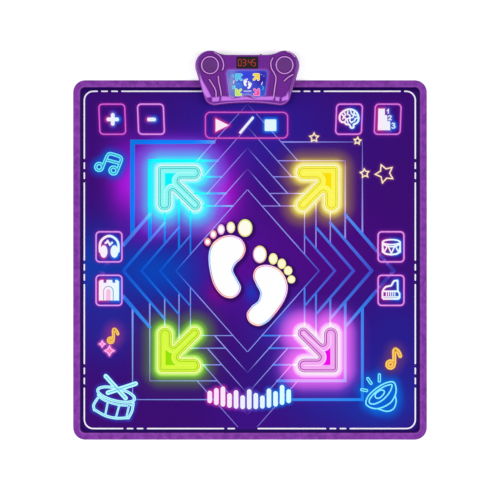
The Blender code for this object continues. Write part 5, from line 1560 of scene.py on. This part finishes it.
def shell_ring(share, inner):
    """One ring of the rim, outside or a wall's thickness inside it."""
    inset = share[0] * TOP_EDGE_INSET + (SHELL_WALL * (1 - share[0]) if inner else 0)
    loop = case_outline(inset, share[1] * TOP_EDGE_SHIFT)
    drop = SHELL_WALL * share[2] if inner else 0
    return np.column_stack([loop, SEAM_Z + share[2] * (case_top(*loop.T) - SEAM_Z) - drop])


rim = [shell_ring(share, False) for share in steps[::-1]] + [shell_ring(share, True) for share in steps]
count = len(rim[0])
quads = np.roll(tube_faces(len(rim), count, False)[:, ::-1], 1, axis=1)
rim_points = np.vstack(rim)
rim_part = (rim_points, [quads], shell_colour(*rim_points[:, :2].T))
plateau = case_outline(TOP_EDGE_INSET, TOP_EDGE_SHIFT)
dish_loops = [oval(lobe, DISH_FLOOR, DISH_FLOOR, 0, 56) for lobe in LOBES]
window_loop = run(rounded_rectangle(WINDOW[0] + 0.5, WINDOW[1] + 0.5, WINDOW[2], WINDOW_MIDDLE), 3.0, True)
plate_loop = run(plate_outline(0.25), 2.5, True)
seeds = lattice(1.5, plateau.min(axis=0), plateau.max(axis=0))
crest_lines = []
for crest in CRESTS:
    seeds = seeds[gap_to(*seeds.T, run(crest, 0.7)) > 2.0]
    sideways = left_of(np.gradient(crest, axis=0))
    crest_lines += [crest + sideways * shift for shift in (-1.5, -0.7, 0.7, 1.5)]
seeds = np.vstack([seeds, *crest_lines])
seeds = seeds[within(seeds, plateau) & (gap_to(*seeds.T, top_edge) > 1.2)]
seeds = seeds[np.unique(np.round(seeds / 0.5), axis=0, return_index=True)[1]]
for loop in dish_loops + [window_loop, plate_loop]:
    seeds = seeds[~within(seeds, loop) & (gap_to(*seeds.T, loop) > 0.7)]
# The rim joins both edges of the top, so the wall of the top's outer loop is left out.
points, (upper, lower, walls), colours = slab(
    [plateau, *dish_loops, window_loop, plate_loop], lambda x, y: case_top(x, y) + shell_relief(x, y),
    lambda x, y: case_top(x, y) - SHELL_WALL, (seeds, ()), shell_colour)
top_part = (points, [upper, lower, walls[count:]], colours)
recess = patch([plate_loop], SHELL_VIOLET, -1.1, case_top, SHELL_WALL)
shell_finish = printed_finish("console_shell", 0.3, 0.3, 1500.0, 2.0, 0.02)
upper_shell = add_piece("upper_shell", gather([rim_part, top_part, recess]), shell_finish,
                        replaced=["top_shell"], printed=True)
weld(upper_shell.data, 2e-5)
smooth_bends(upper_shell.data, SHELL_SMOOTH_BELOW)

# Display window: smoked acrylic set into the top shell, with four red figures and a colon lit
# behind it. Each figure is made of seven bars.
DIGIT_HEIGHT = 16.5
DIGIT_WIDTH = 7.4
DIGIT_PLACES = (-19.2, -8.6, 6.6, 17.2)
SHOWN = (0, 3, 4, 5)
FIGURE_RED = (255, 70, 30)
BARS = ("1110111", "0010010", "1011101", "1011011", "0111010", "1101011", "1101111", "1010010", "1111111",
        "1111011")


def window_top(x, y):
    """Top of the window, a little below the shell."""
    return case_top(x, y) - WINDOW_SINK


smoked = new_finish("smoked_acrylic", 0.12, (14, 12, 16), Coat_Weight=0.3)
dent(smoked, speckle(smoked, 60.0), 0.01)
pane = run(rounded_rectangle(*WINDOW, WINDOW_MIDDLE), 4.0, True)
add_piece("smoked_window", patch([pane], (14, 12, 16), 0, window_top, 1.9), smoked,
          replaced=["display_window"])
half_x, half_y = DIGIT_WIDTH / 2, DIGIT_HEIGHT / 2
STROKES = (((-half_x, half_y), (half_x, half_y)), ((-half_x, 0), (-half_x, half_y)),
           ((half_x, 0), (half_x, half_y)), ((-half_x, 0), (half_x, 0)), ((-half_x, -half_y), (-half_x, 0)),
           ((half_x, -half_y), (half_x, 0)), ((-half_x, -half_y), (half_x, -half_y)))
figures = []
for place, number in zip(DIGIT_PLACES, SHOWN):
    for stroke, shown in zip(np.array(STROKES), BARS[number]):
        if shown == "1":
            middle = stroke.mean(axis=0)
            bar = middle + (stroke - middle) * 0.7 + WINDOW_MIDDLE + (place, 0)
            figures.append(ribbon(run(bar, 3.0), 1.7, FIGURE_RED, False, 0.05, window_top, 0.02))
for y in (-3.4, 3.4):
    point = oval((WINDOW_MIDDLE[0] - 1.0, WINDOW_MIDDLE[1] + y), 1.1, 1.1, 0, 12)
    figures.append(patch([point], FIGURE_RED, 0.05, window_top, 0.02))
digits = new_finish("display_red", 0.4, (140, 34, 18), Emission_Strength=0.32,
                    Emission_Color=opaque((214, 56, 26)))
shade(digits, Roughness=wire(digits, "MapRange", {"Value": speckle(digits, 900.0), "To Min": 0.3,
                                                  "To Max": 0.5}).outputs["Result"])
add_piece("display_figures", gather(figures), digits)

# Picture plate: a thin printed plate in the shell's recess that shows a small dance floor in blue,
# with arrows, feet and short dashes, behind a pale haze at its left.
PLATE_THICKNESS = 0.9
MINI_ARROW = 0.148
MINI_FEET = 0.098
FEET_MIDDLE = (-5, -40)
MINI_FEET_PLACE = (CASE_X + 0.4, CASE_Y - 11.5)
PLATE_BLUE = (66, 76, 210)
PLATE_LILAC = (176, 150, 236)
MINI = {"up_left": ((-21.5, 5.6), (90, 190, 240), (130, 232, 250)),
        "up_right": ((23.0, 6.4), (250, 214, 50), (255, 250, 200)),
        "down_left": ((-22.6, -32.6), (190, 232, 90), (240, 255, 190)),
        "down_right": ((24.0, -32.2), (246, 80, 170), (255, 180, 230))}
BLOTS = ((-2, 10, 12, 11, (44, 62, 226)), (38, 0, 16, 26, (44, 20, 158)), (36, -28, 10, 12, (30, 96, 215)),
         (-40, -10, 13, 40, (136, 146, 206)), (-20, -16, 9, 9, (60, 130, 228)),
         (0, -40, 20, 8, (120, 130, 226)))


def plate_colour(x, y):
    """Blue with softer blots in it, and a lilac line along the rim."""
    colour = tint(PLATE_BLUE, x, y)
    for blot_x, blot_y, reach_x, reach_y, blot in BLOTS:
        share = np.exp(-((x - CASE_X - blot_x) / reach_x) ** 2 - ((y - CASE_Y - blot_y) / reach_y) ** 2)
        colour = drawn(colour, blot, share)
    rim = gap_to(x, y, run(plate_outline(0.0), 1.5, True))
    return drawn(colour, PLATE_LILAC, 0.6 * np.exp(-(rim / 2.6) ** 2))


plate_edge = run(plate_outline(0.0), 2.5, True)
seeds = lattice(2.0, plate_edge.min(axis=0), plate_edge.max(axis=0))
seeds = seeds[within(seeds, plate_outline(0.0)) & (gap_to(*seeds.T, plate_edge) > 1.0)]
parts = [slab([plate_edge], case_top, lambda x, y: case_top(x, y) - PLATE_THICKNESS, (seeds, ()),
              plate_colour)]
for arrow, (place, fill_colour, rim_colour) in MINI.items():
    low, high = arrow_size(arrow)
    moved = (CASE_X + place[0], CASE_Y + place[1])
    loop = run((arrow_loop(arrow) - (low + high) / 2) * MINI_ARROW + moved, 2.0, True)
    parts.append(patch([loop], fill_colour, 0.08, case_top))
    parts.append(ribbon(loop, 1.3, rim_colour, True, 0.1, case_top))
for sole in (LEFT_SOLE, RIGHT_SOLE):
    loop = (sole_loop(sole, 3)[0] - FEET_MIDDLE) * MINI_FEET + MINI_FEET_PLACE
    parts.append(patch([loop], (252, 248, 255), 0.08, case_top))
for middle, across, along, *_ in TOES:
    toe = (np.array(middle) - FEET_MIDDLE) * MINI_FEET + MINI_FEET_PLACE
    loop = oval(toe, across * MINI_FEET, along * MINI_FEET, 0, 12)
    parts.append(patch([loop], (252, 246, 255), 0.08, case_top))
marks = [(((-8.5, -29.6), (10, -29.6)), 2.2, (222, 222, 255)),
         (((-36, -9), (-34, -3)), 2.4, (232, 222, 250)), (((36.5, -13), (39, -7)), 2.4, (236, 222, 250)),
         (((-40, 9), (-36, 12), (-35, 6)), 3.4, (96, 190, 236)),
         (((-37, -19), (-32, -17), (-32, -22), (-37, -23)), 3.4, (110, 224, 240)),
         (((40, -26), (42, -21), (39, -17)), 3.0, (60, 160, 226)),
         (((36, 12), (37.5, 13)), 2.0, (150, 170, 250)), (((42, 8), (43, 9)), 1.6, (170, 170, 250)),
         (((-28, -11), (-20, -11)), 3.0, (70, 150, 240))]
for path, width, colour in marks:
    parts.append(ribbon(run(np.array(path) + (CASE_X, CASE_Y), 3.0), width, colour, False, 0.1, case_top))
plate_film = printed_finish("plate_film", 0.3, 0.3, 900.0, 3.0, 0.01)
add_piece("picture_print", gather(parts), plate_film, replaced=["picture_plate"],
          printed=True)

# Speaker grilles: round discs with rows of small holes, held from inside against a flange and set
# a little below the dishes of the top shell.
GRILLE_RADIUS = 17.7
GRILLE_SINK = DISH_DEPTH + 0.15
GRILLE_THICKNESS = 1.6
HOLE_RADIUS = 0.75
HOLE_PITCH = 3.3
HOLE_FIELD = ((-18, -17.148), (18, 18))
HOLE_MARGIN = 2.6
FLANGE_RADII = (18.9, 16.4)
FLANGE_DEPTHS = (0.15, 1.2)
grille_finish = moulded("grille_plastic", (108, 38, 138), 0.42, 0.02)
for side, lobe in zip(("left", "right"), LOBES):
    holes = lattice(HOLE_PITCH, *HOLE_FIELD)
    holes = holes[np.hypot(*holes.T) < GRILLE_RADIUS - HOLE_MARGIN]
    loops = [oval(lobe, GRILLE_RADIUS, GRILLE_RADIUS, 0, 48)]
    loops += [oval(lobe + hole, HOLE_RADIUS, HOLE_RADIUS, 0, 8) for hole in holes]
    disc = slab(loops, lambda x, y: case_top(x, y) - GRILLE_SINK,
                lambda x, y: case_top(x, y) - GRILLE_SINK - GRILLE_THICKNESS)
    flange = slab([oval(lobe, radius, radius, 0, 48) for radius in FLANGE_RADII],
                  lambda x, y: case_top(x, y) - SHELL_WALL - FLANGE_DEPTHS[0],
                  lambda x, y: case_top(x, y) - SHELL_WALL - FLANGE_DEPTHS[1])
    add_piece("grille_" + side, gather([disc, flange]), grille_finish,
              replaced=["speaker_grille_" + side])

# Studio: pale floor that shows white to the camera, dim grey air, and softboxes to both sides and
# behind the player. None of it belongs to the object.
LAMPS = (("left_softbox", (-2.4, 0.3, 2.2), (1.6, 2.6), 49.5),
         ("right_softbox", (2.4, 0.3, 2.2), (1.6, 2.6), 49.5),
         ("near_softbox", (0.0, -2.6, 1.8), (2.4, 1.0), 26.4))
AIR_GREY = (0.3, 0.3, 0.31, 1.0)
PURE_WHITE = (1.0, 1.0, 1.0, 1.0)


def softbox(name, place, size, power):
    """Square lamp that looks at the middle of the mat."""
    lamp = bpy.data.lights.new(name, "AREA")
    lamp.shape = "RECTANGLE"
    lamp.size, lamp.size_y = size
    lamp.energy = power
    holder = add_object(name, lamp)
    holder.location = place
    holder.rotation_euler = Vector(place).to_track_quat("Z", "Y").to_euler()
    holder.visible_camera = False


floor_mesh = bpy.data.meshes.new("floor")
floor_mesh.from_pydata([(-30, -30, 0), (30, -30, 0), (30, 30, 0), (-30, 30, 0)], [], [(0, 1, 2, 3)])
floor_white = new_finish("floor_white", 0.9, (250, 250, 250), Specular_IOR_Level=0.0, Emission_Strength=0.35,
                         Emission_Color=PURE_WHITE)
blend(floor_white, speckle(floor_white, 2.0), (249, 249, 249), (251, 251, 251))
floor_mesh.materials.append(floor_white)
floor = add_object("floor", floor_mesh)
floor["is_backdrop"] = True
world = bpy.data.worlds.new("studio")
bpy.context.scene.world = world
world.use_nodes = True
tree = world.node_tree
tree.nodes["Background"].inputs["Color"].default_value = AIR_GREY
seen = tree.nodes.new("ShaderNodeBackground")
seen.inputs["Color"].default_value = PURE_WHITE
ray = tree.nodes.new("ShaderNodeLightPath")
mixer = tree.nodes.new("ShaderNodeMixShader")
tree.links.new(ray.outputs["Is Camera Ray"], mixer.inputs["Fac"])
tree.links.new(tree.nodes["Background"].outputs["Background"], mixer.inputs[1])
tree.links.new(seen.outputs["Background"], mixer.inputs[2])
tree.links.new(mixer.outputs["Shader"], tree.nodes["World Output"].inputs["Surface"])
for lamp in LAMPS:
    softbox(*lamp)
bpy.context.scene.view_settings.view_transform = "Standard"
eye = bpy.data.cameras.new("eye")
eye.lens = 200.0
eye.sensor_width = 36.0
eye.clip_end = 100.0
camera = add_object("eye", eye)
camera.location = (0.0, 0.02584, 7.19)
bpy.context.scene.camera = camera

# Size: the box round everything that renders, the floor left out, in metres.
low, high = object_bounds()
